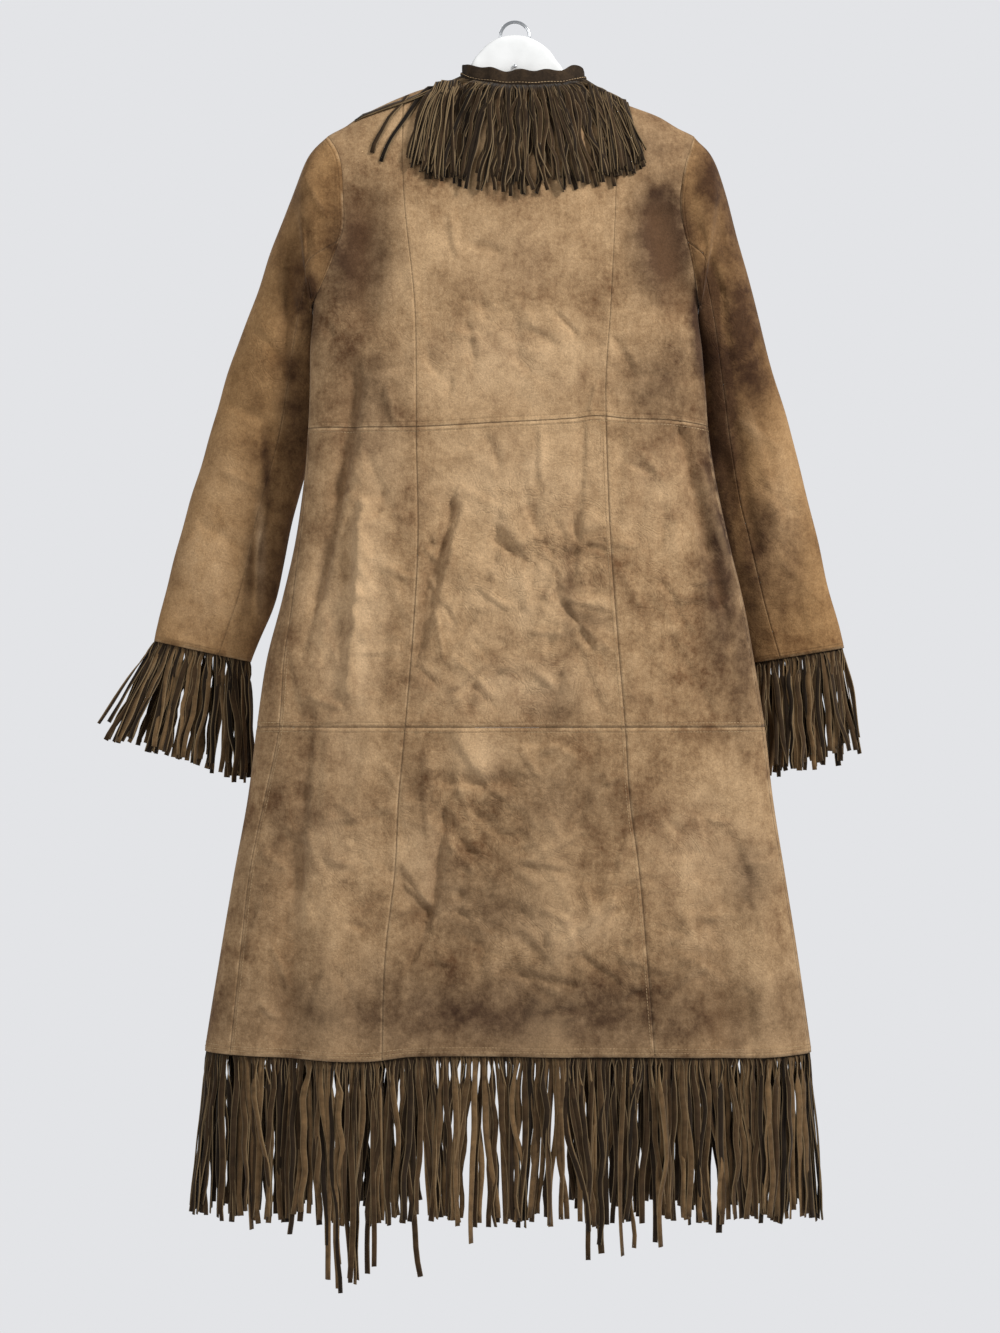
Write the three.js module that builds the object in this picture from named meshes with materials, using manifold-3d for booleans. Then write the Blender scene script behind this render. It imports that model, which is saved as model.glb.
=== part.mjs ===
// Fringed suede duster coat hung on a domed hanger.
// Millimetres. +Z up, the back of the coat faces -Y, the fronts face +Y.
// The origin is the inside top of the hook, where a rail would bear.

import * as THREE from 'three';
import Module from 'manifold-3d';
import { mergeVertices } from 'three/addons/utils/BufferGeometryUtils.js';

// Driving dimensions

const WALL = 1.5; // suede thickness
const SEAM_GAP = 0.3; // each panel stops this far short of its seam
const NECK_LEVEL = -75; // level of the neck and shoulder row
const ARMPIT_LEVEL = -315;
const WAIST_LEVEL = -449;
const KNEE_LEVEL = -785;
const HEM_LEVEL = -1147;
const SQUARENESS = 2.8; // how flat the body ring is, 2 would be an ellipse

const NECK_CENTRE = 10;
const NECK_HALF_WIDTH = 69;
const NECK_BACK_DEPTH = 30;
const NECK_FRONT_DEPTH = 44;

const COLLAR_HEIGHT = 19;
const COLLAR_THICKNESS = 2.4;
const COLLAR_END_ANGLE = 2.9; // radians each way from the centre back
const COLLAR_GAP = 0.8; // between the neck edge and the band
const COLLAR_FRONT_SLACK = 3.8; // more room over the curved front neck
const COLLAR_INSET = 0.5; // the band stands just inside the neck edge
const COLLAR_COLUMNS = 34;
const COLLAR_WAVE = 1.6;
const COLLAR_WAVE_PITCH = 31;

const SLEEVE_SQUARENESS = 2.3;
const ARMHOLE_STEPS = 10; // rows of the body panels beside an armhole

const TAPE_HEIGHT = 10; // cut strip the fringe hangs from
const TAPE_THICKNESS = 1.6;
const HEM_SETBACK = 2.2; // from the outer face of the cloth to the strip
const CUFF_SETBACK = 2.9;
const STRAND_WIDTH = 4.6;
const STRAND_THICKNESS = 1;
const HEM_STRANDS_BACK = 50;
const HEM_STRANDS_FRONT = 20;
const CUFF_STRANDS = 16;
const COLLAR_STRANDS = 27;
const HEM_FRINGE_LENGTH = 178;
const CUFF_FRINGE_LENGTH = 112;
const HEM_PART = 0.004; // part of a half turn between neighbouring strips

const PLATE_HALF_THICKNESS = 3.5;
const PLATE_SETBACK = -5.7; // the plate stands behind the hook wire
const HOOK_RADIUS = 16.2;
const WIRE_RADIUS = 1.8;
const STEM_END = -52;
const RIVET_RADIUS = 1.9;
const RIVET_HEIGHT = 1.2;
const RIVET_LEVEL = -49.4;

// Level sections of the body: where its left and right edges stand and how
// far the back and the front stand off the hanger plane. Above the armpit
// the ring runs on past the armhole seam, where the cloth is cut away.
const BODY_SECTIONS = [
  { level: -75, left: -315, right: 312, back: 44, front: 46 },
  { level: -195, left: -268, right: 254, back: 45, front: 47 },
  { level: -270, left: -236, right: 220, back: 44, front: 47 },
  { level: -315, left: -225.5, right: 205, back: 43, front: 46 },
  { level: -364, left: -228.5, right: 209, back: 43, front: 46 },
  { level: -410, left: -229, right: 213, back: 44, front: 46 },
  { level: -452, left: -231, right: 216, back: 45, front: 46 },
  { level: -507, left: -235, right: 224, back: 46, front: 47 },
  { level: -579, left: -245, right: 239, back: 48, front: 48 },
  { level: -645, left: -260, right: 255, back: 50, front: 50 },
  { level: -711, left: -277, right: 267, back: 51, front: 51 },
  { level: -786, left: -288, right: 279, back: 52, front: 52 },
  { level: -865, left: -298, right: 288, back: 54, front: 53 },
  { level: -953, left: -314, right: 302, back: 55, front: 54 },
  { level: -1041, left: -329, right: 316, back: 57, front: 55 },
  { level: -1147, left: -346, right: 331, back: 58, front: 56 },
  { level: -1180, left: -350, right: 335, back: 58, front: 56 },
];

// Top edge of the back and of the fronts: shoulder, neck, shoulder.
const BACK_TOP = [
  { x: -240, z: -150 },
  { x: -209, z: -126 },
  { x: -189, z: -115 },
  { x: -171, z: -103 },
  { x: -149, z: -92 },
  { x: -129, z: -83 },
  { x: -105, z: -74 },
  { x: -83, z: -69 },
  { x: -59, z: -67 },
  { x: -30, z: -74 },
  { x: 10, z: -78 },
  { x: 50, z: -75 },
  { x: 79, z: -70 },
  { x: 100, z: -79 },
  { x: 126, z: -91 },
  { x: 160, z: -104 },
  { x: 182, z: -117 },
  { x: 200, z: -126 },
  { x: 235, z: -150 },
];
const FRONT_NECK = [
  { x: -59, z: -67 },
  { x: -55, z: -79 },
  { x: -47, z: -93 },
  { x: -35, z: -106 },
  { x: -20, z: -115 },
  { x: 10, z: -120 },
  { x: 40, z: -116 },
  { x: 55, z: -107 },
  { x: 67, z: -95 },
  { x: 75, z: -82 },
  { x: 79, z: -70 },
];

// Armhole seams, seen from behind.
const ARMHOLE = {
  left: [
    { z: -126, x: -209 },
    { z: -146, x: -197 },
    { z: -168, x: -191.5 },
    { z: -205, x: -190 },
    { z: -232, x: -190 },
    { z: -260, x: -199 },
    { z: -282, x: -208 },
    { z: -300, x: -217 },
    { z: -315, x: -225.5 },
  ],
  right: [
    { z: -126, x: 200 },
    { z: -142, x: 195 },
    { z: -160, x: 189 },
    { z: -183, x: 184.5 },
    { z: -205, x: 182.5 },
    { z: -230, x: 186 },
    { z: -260, x: 194 },
    { z: -290, x: 201 },
    { z: -315, x: 205 },
  ],
};

// Long seams of the back from the shoulder to the hem, and how far each
// side seam stands inside the edge of the coat.
const LONG_SEAMS = [
  { level: -75, princessLeft: -125, princessRight: 114, sideLeft: 0, sideRight: 0 },
  { level: -195, princessLeft: -123, princessRight: 111, sideLeft: 0, sideRight: 0 },
  { level: -315, princessLeft: -111, princessRight: 105.5, sideLeft: 0, sideRight: 0 },
  { level: -400, princessLeft: -109, princessRight: 100, sideLeft: 0.5, sideRight: 1 },
  { level: -452, princessLeft: -109, princessRight: 100, sideLeft: 2, sideRight: 2 },
  { level: -579, princessLeft: -107, princessRight: 105, sideLeft: 6, sideRight: 3 },
  { level: -690, princessLeft: -113, princessRight: 113, sideLeft: 19, sideRight: 4 },
  { level: -786, princessLeft: -121, princessRight: 121, sideLeft: 27, sideRight: 4 },
  { level: -865, princessLeft: -128, princessRight: 126, sideLeft: 21, sideRight: 4 },
  { level: -941, princessLeft: -132, princessRight: 136, sideLeft: 19, sideRight: 4 },
  { level: -1041, princessLeft: -143, princessRight: 145, sideLeft: 25, sideRight: 4 },
  { level: -1147, princessLeft: -146, princessRight: 153, sideLeft: 31, sideRight: 4 },
  { level: -1180, princessLeft: -146, princessRight: 154, sideLeft: 31, sideRight: 4 },
];

// Edges of the open front.
const FRONT_EDGES = [
  { level: -75, left: -5, right: 25 },
  { level: -315, left: -4, right: 22 },
  { level: -452, left: -8, right: 20 },
  { level: -645, left: -25, right: 22 },
  { level: -786, left: -45, right: 28 },
  { level: -953, left: -68, right: 38 },
  { level: -1147, left: -93, right: 50 },
  { level: -1180, left: -97, right: 52 },
];

// Rise and fall of the waist seam and of the hem across the coat.
const WAIST_DRIFT = [
  { x: -231, z: -4 },
  { x: -113, z: -5 },
  { x: -11, z: 0 },
  { x: 63, z: 4 },
  { x: 90, z: 7 },
  { x: 125, z: 4 },
  { x: 174, z: 3 },
  { x: 216, z: -2 },
];
const WAIST_DRIFT_REACH = 60;
const HEM_DRIFT = [
  { x: -346, z: 1.5 },
  { x: -240, z: -2 },
  { x: -163, z: -4.5 },
  { x: -110, z: 1.5 },
  { x: 68, z: 1 },
  { x: 162, z: 0 },
  { x: 255, z: -2 },
  { x: 331, z: 0 },
];
const HEM_DRIFT_REACH = 80;

// Largest folds: each runs from one point to another and stands out or in.
const BACK_FOLDS = [
  { x0: -173, z0: -405, x1: -190, z1: -520, width: 17, rise: -7 },
  { x0: -190, z0: -520, x1: -208, z1: -620, width: 15, rise: -6 },
  { x0: -177, z0: -560, x1: -196, z1: -745, width: 16, rise: 6 },
  { x0: -67, z0: -542, x1: -103, z1: -696, width: 13, rise: -5 },
  { x0: 188, z0: -462, x1: 232, z1: -640, width: 15, rise: -7 },
  { x0: 206, z0: -500, x1: 246, z1: -625, width: 13, rise: 4 },
  { x0: -78, z0: -846, x1: -2, z1: -845, width: 11, rise: -4 },
  { x0: -55, z0: -790, x1: -48, z1: -830, width: 20, rise: 5 },
  { x0: -132, z0: -945, x1: -102, z1: -990, width: 14, rise: -4 },
  { x0: -76, z0: -886, x1: -90, z1: -990, width: 14, rise: -4 },
  { x0: -166, z0: -215, x1: -170, z1: -320, width: 24, rise: -8 },
  { x0: 160, z0: -225, x1: 184, z1: -315, width: 22, rise: -8 },
  { x0: -248, z0: -915, x1: -256, z1: -1180, width: 20, rise: -6 },
  { x0: -198, z0: -985, x1: -205, z1: -1180, width: 24, rise: 5 },
  { x0: 40, z0: -900, x1: 42, z1: -1180, width: 34, rise: 5 },
  { x0: 214, z0: -880, x1: 232, z1: -1180, width: 26, rise: -6 },
  { x0: 268, z0: -930, x1: 285, z1: -1180, width: 20, rise: 5 },
];
const FRONT_FOLDS = [
  { x0: -150, z0: -200, x1: -165, z1: -420, width: 24, rise: -7 },
  { x0: 135, z0: -210, x1: 160, z1: -430, width: 24, rise: -7 },
  { x0: -110, z0: -480, x1: -140, z1: -760, width: 22, rise: 6 },
  { x0: 120, z0: -500, x1: 165, z1: -790, width: 20, rise: -6 },
  { x0: -215, z0: -780, x1: -240, z1: -1180, width: 26, rise: -7 },
  { x0: -160, z0: -820, x1: -175, z1: -1180, width: 26, rise: 6 },
  { x0: 110, z0: -860, x1: 128, z1: -1180, width: 26, rise: 6 },
  { x0: 200, z0: -760, x1: 225, z1: -1180, width: 26, rise: -7 },
];

// Sleeve sections from the cap to the cuff: outer and inner edge of each
// ring, how far forward its middle hangs and half its depth.
const SLEEVES = {
  left: [
    { outerX: -233, outerZ: -152, innerX: -227, innerZ: -324, forward: 3, depth: 34 },
    { outerX: -253, outerZ: -199, innerX: -227, innerZ: -336, forward: 9, depth: 34 },
    { outerX: -286, outerZ: -285, innerX: -227.5, innerZ: -366, forward: 21, depth: 32 },
    { outerX: -316, outerZ: -366, innerX: -223, innerZ: -411, forward: 33, depth: 31 },
    { outerX: -338, outerZ: -432, innerX: -228.5, innerZ: -468, forward: 39, depth: 30 },
    { outerX: -355, outerZ: -491, innerX: -244, innerZ: -526, forward: 43, depth: 29 },
    { outerX: -368.5, outerZ: -535, innerX: -255, innerZ: -568, forward: 45, depth: 27 },
    { outerX: -390.5, outerZ: -612, innerX: -270, innerZ: -639, forward: 46, depth: 24 },
    { outerX: -409, outerZ: -689, innerX: -299, innerZ: -713, forward: 46, depth: 20 },
  ],
  right: [
    { outerX: 221, outerZ: -148, innerX: 207, innerZ: -322, forward: 3, depth: 34 },
    { outerX: 237, outerZ: -190, innerX: 207, innerZ: -334, forward: 9, depth: 34 },
    { outerX: 266, outerZ: -293, innerX: 208, innerZ: -364, forward: 21, depth: 32 },
    { outerX: 291.5, outerZ: -384, innerX: 206, innerZ: -419, forward: 33, depth: 31 },
    { outerX: 310, outerZ: -443, innerX: 209, innerZ: -476, forward: 39, depth: 30 },
    { outerX: 327, outerZ: -510, innerX: 217, innerZ: -540, forward: 43, depth: 29 },
    { outerX: 338, outerZ: -551, innerX: 228, innerZ: -584, forward: 45, depth: 27 },
    { outerX: 357.5, outerZ: -630, innerX: 246, innerZ: -658, forward: 46, depth: 24 },
    { outerX: 374, outerZ: -697, innerX: 264, innerZ: -715, forward: 46, depth: 20 },
  ],
};
const SLEEVE_FOLDS = [
  { x0: -236, z0: -241, x1: -261, z1: -367, width: 12, rise: -5 },
  { x0: -278, z0: -527, x1: -295, z1: -656, width: 12, rise: -4 },
  { x0: 214, z0: -265, x1: 224, z1: -330, width: 10, rise: -4 },
  { x0: 236, z0: -488, x1: 268, z1: -590, width: 12, rise: -4 },
];

// The two seams of each sleeve, as places round its ring.
const SLEEVE_SEAM_BACK = 0.3;
const SLEEVE_SEAM_FRONT = -0.3;
const SLEEVE_LAST = 9;

// Hanger stations from tip to tip: top and bottom edge, half thickness and
// how far the middle is set back.
const HANGER_STATIONS = [
  { x: -192, top: -124, bottom: -131, half: 3, back: 0 },
  { x: -186, top: -118, bottom: -133, half: 6, back: 0 },
  { x: -171, top: -107.5, bottom: -124, half: 7, back: 0 },
  { x: -149, top: -96, bottom: -112, half: 7, back: 0 },
  { x: -129, top: -87, bottom: -104, half: 7, back: 0 },
  { x: -105, top: -78.5, bottom: -97, half: 7, back: 0 },
  { x: -83, top: -74.5, bottom: -92, half: 6, back: -1 },
  { x: -66, top: -75.5, bottom: -89, half: 4.5, back: -3 },
  { x: -57, top: -76, bottom: -86, half: 2.8, back: -5 },
  { x: -54.5, top: -72, bottom: -82, half: 2, back: -5.7 },
  { x: -52, top: -55, bottom: -79, half: 1.8, back: -5.5 },
  { x: -46, top: -42, bottom: -76, half: 3.5, back: -5.7 },
  { x: -38, top: -32, bottom: -72, half: 3.5, back: -5.7 },
  { x: -31, top: -25, bottom: -68, half: 3.5, back: -5.7 },
  { x: -21, top: -18.5, bottom: -63, half: 3.5, back: -5.7 },
  { x: -11, top: -15.3, bottom: -58, half: 3.5, back: -5.7 },
  { x: 0, top: -14.3, bottom: -53, half: 3.5, back: -5.7 },
  { x: 11, top: -15.3, bottom: -58, half: 3.5, back: -5.7 },
  { x: 21, top: -19, bottom: -63, half: 3.5, back: -5.7 },
  { x: 31, top: -25, bottom: -68, half: 3.5, back: -5.7 },
  { x: 39, top: -32, bottom: -72, half: 3.5, back: -5.7 },
  { x: 46, top: -42, bottom: -76, half: 3.5, back: -5.7 },
  { x: 54, top: -54, bottom: -80, half: 3.5, back: -5.7 },
  { x: 59, top: -74, bottom: -86, half: 3.5, back: -5.7 },
  { x: 77, top: -77, bottom: -93, half: 5, back: -2 },
  { x: 100, top: -83.5, bottom: -101, half: 7, back: 0 },
  { x: 126, top: -95.5, bottom: -112, half: 7, back: 0 },
  { x: 160, top: -109, bottom: -125, half: 7, back: 0 },
  { x: 177, top: -120, bottom: -134, half: 6, back: 0 },
  { x: 183, top: -126, bottom: -133, half: 3, back: 0 },
];

// Strands that hang below the rest of the hem.
const LONG_STRANDS = [
  { x: -242, tip: -1343 },
  { x: -203, tip: -1390 },
  { x: -191, tip: -1405 },
  { x: -158, tip: -1394 },
  { x: -110, tip: -1388 },
  { x: -46, tip: -1350 },
  { x: 86, tip: -1369 },
  { x: 121, tip: -1364 },
  { x: 158, tip: -1354 },
  { x: 228, tip: -1342 },
];
const STRAY_STRANDS = [
  { angle: -1.36, x1: -186, z1: -112 },
  { angle: -1.18, x1: -150, z1: -150 },
];

const COLOURS = {
  suede: '#8f7049',
  dark: '#4b3b2b',
  white: '#ececea',
  steel: '#c4c6c8',
};

// Curves and surfaces

function power(value, exponent) {
  return Math.sign(value) * Math.abs(value) ** exponent;
}

function clamp(value, low, high) {
  return Math.min(high, Math.max(low, value));
}

// Smooth curve through a table: cubic pieces, slopes taken from neighbours.
function follow(table, key, value, at) {
  const last = table.length - 1;
  const sign = table[last][key] > table[0][key] ? 1 : -1;
  let k = 0;
  while (k < last - 1 && sign * at > sign * table[k + 1][key]) {
    k += 1;
  }
  const span = table[k + 1][key] - table[k][key];
  const t = clamp((at - table[k][key]) / span, 0, 1);
  const slope = (i) => {
    const a = table[Math.max(i - 1, 0)];
    const b = table[Math.min(i + 1, last)];
    return ((b[value] - a[value]) / (b[key] - a[key])) * span;
  };
  const cube = t * t * t;
  const square = t * t;
  return (
    table[k][value] * (2 * cube - 3 * square + 1) +
    slope(k) * (cube - 2 * square + t) +
    table[k + 1][value] * (3 * square - 2 * cube) +
    slope(k + 1) * (cube - square)
  );
}

function section(level) {
  const left = follow(BODY_SECTIONS, 'level', 'left', level);
  const right = follow(BODY_SECTIONS, 'level', 'right', level);
  return {
    middle: (left + right) / 2,
    half: (right - left) / 2,
    back: follow(BODY_SECTIONS, 'level', 'back', level),
    front: follow(BODY_SECTIONS, 'level', 'front', level),
  };
}

function topEdge(x, isFront) {
  if (isFront && Math.abs(x - NECK_CENTRE) < NECK_HALF_WIDTH) {
    return follow(FRONT_NECK, 'x', 'z', x);
  }
  return follow(BACK_TOP, 'x', 'z', x);
}

// How far the neck edge stands off the hanger plane, nothing at a shoulder.
function neckDepth(x, isFront) {
  const share = clamp(Math.abs(x - NECK_CENTRE) / NECK_HALF_WIDTH, 0, 1);
  const round = Math.sqrt(1 - share * share);
  return isFront ? NECK_FRONT_DEPTH * round : -NECK_BACK_DEPTH * round;
}

function seamDrift(x, level) {
  const fromWaist = (level - WAIST_LEVEL) / WAIST_DRIFT_REACH;
  const fromHem = (level - HEM_LEVEL) / HEM_DRIFT_REACH;
  return (
    follow(WAIST_DRIFT, 'x', 'z', x) * Math.exp(-fromWaist * fromWaist) +
    follow(HEM_DRIFT, 'x', 'z', x) * Math.exp(-fromHem * fromHem)
  );
}

// Smooth body: turn 0 is the centre back, 0.5 a side, 1 the centre front.
function bodyBase(turn, level) {
  const cut = section(level);
  const angle = Math.PI * turn;
  const isFront = Math.cos(angle) < 0;
  const x = cut.middle + cut.half * power(Math.sin(angle), 2 / SQUARENESS);
  const reach = isFront ? cut.front : cut.back;
  const full = -reach * power(Math.cos(angle), 2 / SQUARENESS);
  if (level <= ARMPIT_LEVEL) {
    return new THREE.Vector3(x, full, level + seamDrift(x, level));
  }
  const fall = (NECK_LEVEL - level) / (NECK_LEVEL - ARMPIT_LEVEL);
  const lip = neckDepth(x, isFront);
  const top = topEdge(x, isFront);
  return new THREE.Vector3(
    x,
    lip + (full - lip) * Math.sqrt(fall * (2 - fall)),
    top + (ARMPIT_LEVEL - top) * fall,
  );
}

function foldRise(folds, x, z) {
  let sum = 0;
  for (const fold of folds) {
    const dx = fold.x1 - fold.x0;
    const dz = fold.z1 - fold.z0;
    const t = ((x - fold.x0) * dx + (z - fold.z0) * dz) / (dx * dx + dz * dz);
    const near = clamp(t, 0, 1);
    const away = Math.hypot(x - fold.x0 - near * dx, z - fold.z0 - near * dz);
    sum += fold.rise * Math.exp(-((away / fold.width) ** 2));
  }
  return sum;
}

// Outward normal of a surface, from small steps each way.
function normalOf(surface, a, b, stepA, stepB) {
  const acrossA = surface(a + stepA, b).sub(surface(a - stepA, b));
  const acrossB = surface(a, b + stepB).sub(surface(a, b - stepB));
  return acrossA.cross(acrossB).normalize();
}

function bodyNormal(turn, level) {
  const low = Math.min(level, NECK_LEVEL - 0.02);
  const step = Math.min(0.5, NECK_LEVEL - low);
  return normalOf(bodyBase, turn, low, 0.0005, step);
}

function bodySurface(turn, level, off = 0) {
  const point = bodyBase(turn, level);
  const normal = bodyNormal(turn, level);
  const folds = Math.cos(Math.PI * turn) < 0 ? FRONT_FOLDS : BACK_FOLDS;
  const facing = Math.abs(normal.y);
  const rise = foldRise(folds, point.x, point.z) * facing * facing;
  return point.addScaledVector(normal, rise + off);
}

// Turn of the body ring at a given x, on the back or on the front.
function turnAt(x, level, isFront) {
  const cut = section(level);
  const share = clamp(Math.abs(x - cut.middle) / cut.half, 0, 1);
  const angle = Math.asin(share ** (SQUARENESS / 2)) / Math.PI;
  const turn = isFront ? 1 - angle : angle;
  return x < cut.middle ? -turn : turn;
}

function armholeTurn(side, level, isFront) {
  const fall = clamp((NECK_LEVEL - level) / (NECK_LEVEL - ARMPIT_LEVEL), 0, 1);
  if (fall > 0.9999) {
    return side === 'left' ? -0.5 : 0.5;
  }
  let x = side === 'left' ? -205 : 196;
  for (let pass = 0; pass < 6; pass += 1) {
    const top = topEdge(x, isFront);
    x = follow(ARMHOLE[side], 'z', 'x', top + (ARMPIT_LEVEL - top) * fall);
  }
  return turnAt(x, level, isFront);
}

// Outer edge of a back or front panel: armhole first, then the side seam.
function sideTurn(side, level, isFront) {
  if (level >= ARMPIT_LEVEL) {
    return armholeTurn(side, level, isFront);
  }
  const key = side === 'left' ? 'sideLeft' : 'sideRight';
  const inside = Math.max(0, follow(LONG_SEAMS, 'level', key, level));
  const cut = section(level);
  if (side === 'left') {
    return turnAt(cut.middle - cut.half + inside, level, false);
  }
  return turnAt(cut.middle + cut.half - inside, level, false);
}

function princessTurn(side, level) {
  const key = side === 'left' ? 'princessLeft' : 'princessRight';
  return turnAt(follow(LONG_SEAMS, 'level', key, level), level, false);
}

function frontEdgeTurn(side, level) {
  const cut = section(level);
  const x = follow(FRONT_EDGES, 'level', side, level);
  const share = clamp(Math.abs(x - cut.middle) / cut.half, 0, 1);
  const angle = Math.asin(share ** (SQUARENESS / 2)) / Math.PI;
  const hand = side === 'left' ? -1 : 1;
  const outside = hand * (x - cut.middle) > 0;
  return hand * (1 - (outside ? angle : -angle));
}

// Sleeve ring: place 0 is its outer edge, 0.25 the back, 0.5 the inner edge.
function sleeveRing(side, index, place) {
  if (index === 0) {
    const fall = (1 - Math.cos(2 * Math.PI * place)) / 2;
    const level = NECK_LEVEL + (ARMPIT_LEVEL - NECK_LEVEL) * fall;
    const isFront = place < 0;
    return bodySurface(armholeTurn(side, level, isFront), level);
  }
  const ring = SLEEVES[side][index - 1];
  const outer = power(Math.cos(2 * Math.PI * place), 2 / SLEEVE_SQUARENESS);
  const rear = power(Math.sin(2 * Math.PI * place), 2 / SLEEVE_SQUARENESS);
  return new THREE.Vector3(
    (ring.outerX + ring.innerX) / 2 + ((ring.outerX - ring.innerX) / 2) * outer,
    ring.forward - ring.depth * rear,
    (ring.outerZ + ring.innerZ) / 2 + ((ring.outerZ - ring.innerZ) / 2) * outer,
  );
}

function sleeveBase(side, place, along) {
  const k = clamp(Math.floor(along), 0, SLEEVE_LAST - 1);
  const t = along - k;
  const ring = (i) => sleeveRing(side, clamp(i, 0, SLEEVE_LAST), place);
  const start = ring(k);
  const end = ring(k + 1);
  const startSlope = end.clone().sub(ring(k - 1)).multiplyScalar(k === 0 ? 1 : 0.5);
  const endSlope = ring(k + 2).sub(start).multiplyScalar(k + 2 > SLEEVE_LAST ? 1 : 0.5);
  const cube = t * t * t;
  const square = t * t;
  return start
    .multiplyScalar(2 * cube - 3 * square + 1)
    .addScaledVector(startSlope, cube - 2 * square + t)
    .addScaledVector(end, 3 * square - 2 * cube)
    .addScaledVector(endSlope, cube - square);
}

function sleeveSurface(side, place, along, off = 0) {
  const surface = (a, b) => sleeveBase(side, a, b);
  const hand = side === 'left' ? -1 : 1;
  const normal = normalOf(surface, place, clamp(along, 0.02, 8.98), 0.004, 0.02);
  normal.multiplyScalar(hand);
  const point = sleeveBase(side, place, along);
  const facing = Math.max(0, -normal.y);
  const rise = foldRise(SLEEVE_FOLDS, point.x, point.z) * facing * facing;
  return point.addScaledVector(normal, rise + off);
}

// Solids

const wasm = await Module();
wasm.setup();

function meshOf(name, colour, positions, faces, metalness = 0) {
  const geometry = new THREE.BufferGeometry();
  geometry.setAttribute('position', new THREE.Float32BufferAttribute(positions, 3));
  geometry.setIndex(faces);
  geometry.computeVertexNormals();
  const material = new THREE.MeshStandardMaterial({
    color: colour,
    roughness: metalness > 0 ? 0.3 : 0.92,
    metalness,
  });
  const mesh = new THREE.Mesh(geometry, material);
  mesh.name = name;
  return mesh;
}

// Turns every face over if the closed body came out inside out.
function faceOut(positions, faces) {
  let volume = 0;
  for (let i = 0; i < faces.length; i += 3) {
    const [a, b, c] = [faces[i] * 3, faces[i + 1] * 3, faces[i + 2] * 3];
    const crossX = positions[b + 1] * positions[c + 2] - positions[b + 2] * positions[c + 1];
    const crossY = positions[b + 2] * positions[c] - positions[b] * positions[c + 2];
    const crossZ = positions[b] * positions[c + 1] - positions[b + 1] * positions[c];
    volume += positions[a] * crossX + positions[a + 1] * crossY + positions[a + 2] * crossZ;
  }
  if (volume < 0) {
    for (let i = 0; i < faces.length; i += 3) {
      [faces[i + 1], faces[i + 2]] = [faces[i + 2], faces[i + 1]];
    }
  }
}

// Moves the rim of a grid of points inward, so that neighbours part.
function pullRim(grid, amount) {
  const last = grid.length - 1;
  const end = grid[0].length - 1;
  const pull = (point, toward) => {
    const step = toward.clone().sub(point);
    point.addScaledVector(step, amount / step.length());
  };
  for (let j = 0; j <= end; j += 1) {
    pull(grid[0][j], grid[1][j]);
    pull(grid[last][j], grid[last - 1][j]);
  }
  for (let i = 0; i <= last; i += 1) {
    pull(grid[i][0], grid[i][1]);
    pull(grid[i][end], grid[i][end - 1]);
  }
}

// Closed sheet between two grids of points with the same rows and columns.
function sheetBody(outerGrid, innerGrid) {
  const rows = outerGrid.length;
  const columns = outerGrid[0].length;
  const positions = [];
  for (const grid of [outerGrid, innerGrid]) {
    for (const row of grid) {
      for (const point of row) {
        positions.push(point.x, point.y, point.z);
      }
    }
  }
  const shift = rows * columns;
  const faces = [];
  const quad = (a, b, c, d) => faces.push(a, b, c, a, c, d);
  const at = (i, j) => i * columns + j;
  for (let i = 0; i < rows - 1; i += 1) {
    for (let j = 0; j < columns - 1; j += 1) {
      quad(at(i, j), at(i + 1, j), at(i + 1, j + 1), at(i, j + 1));
      quad(
        shift + at(i, j),
        shift + at(i, j + 1),
        shift + at(i + 1, j + 1),
        shift + at(i + 1, j),
      );
    }
  }
  const wall = (a, b) => quad(a, b, shift + b, shift + a);
  for (let j = 0; j < columns - 1; j += 1) {
    wall(at(0, j), at(0, j + 1));
    wall(at(rows - 1, j + 1), at(rows - 1, j));
  }
  for (let i = 0; i < rows - 1; i += 1) {
    wall(at(i + 1, 0), at(i, 0));
    wall(at(i, columns - 1), at(i + 1, columns - 1));
  }
  faceOut(positions, faces);
  return { positions, faces };
}

function gridOf(levels, columns, pointAt) {
  return levels.map((level) =>
    Array.from({ length: columns + 1 }, (_, j) => pointAt(level, j / columns)),
  );
}

function clothPanel(name, levels, columns, pointAt) {
  const outer = gridOf(levels, columns, (level, share) => pointAt(level, share, 0));
  const inner = gridOf(levels, columns, (level, share) => pointAt(level, share, -WALL));
  pullRim(outer, SEAM_GAP);
  pullRim(inner, SEAM_GAP);
  const { positions, faces } = sheetBody(outer, inner);
  return meshOf(name, COLOURS.suede, positions, faces);
}

function evenLevels(from, to, steps) {
  return Array.from({ length: steps + 1 }, (_, i) => from + ((to - from) * i) / steps);
}

// Rows beside the armhole crowd together at the shoulder and the armpit.
function armholeLevels() {
  return Array.from({ length: ARMHOLE_STEPS + 1 }, (_, i) => {
    const fall = (1 - Math.cos((Math.PI * i) / ARMHOLE_STEPS)) / 2;
    return NECK_LEVEL + (ARMPIT_LEVEL - NECK_LEVEL) * fall;
  });
}

const TIERS = {
  upper: [...armholeLevels(), ...evenLevels(ARMPIT_LEVEL, WAIST_LEVEL, 4).slice(1)],
  middle: evenLevels(WAIST_LEVEL, KNEE_LEVEL, 8),
  lower: evenLevels(KNEE_LEVEL, HEM_LEVEL, 8),
};

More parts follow.
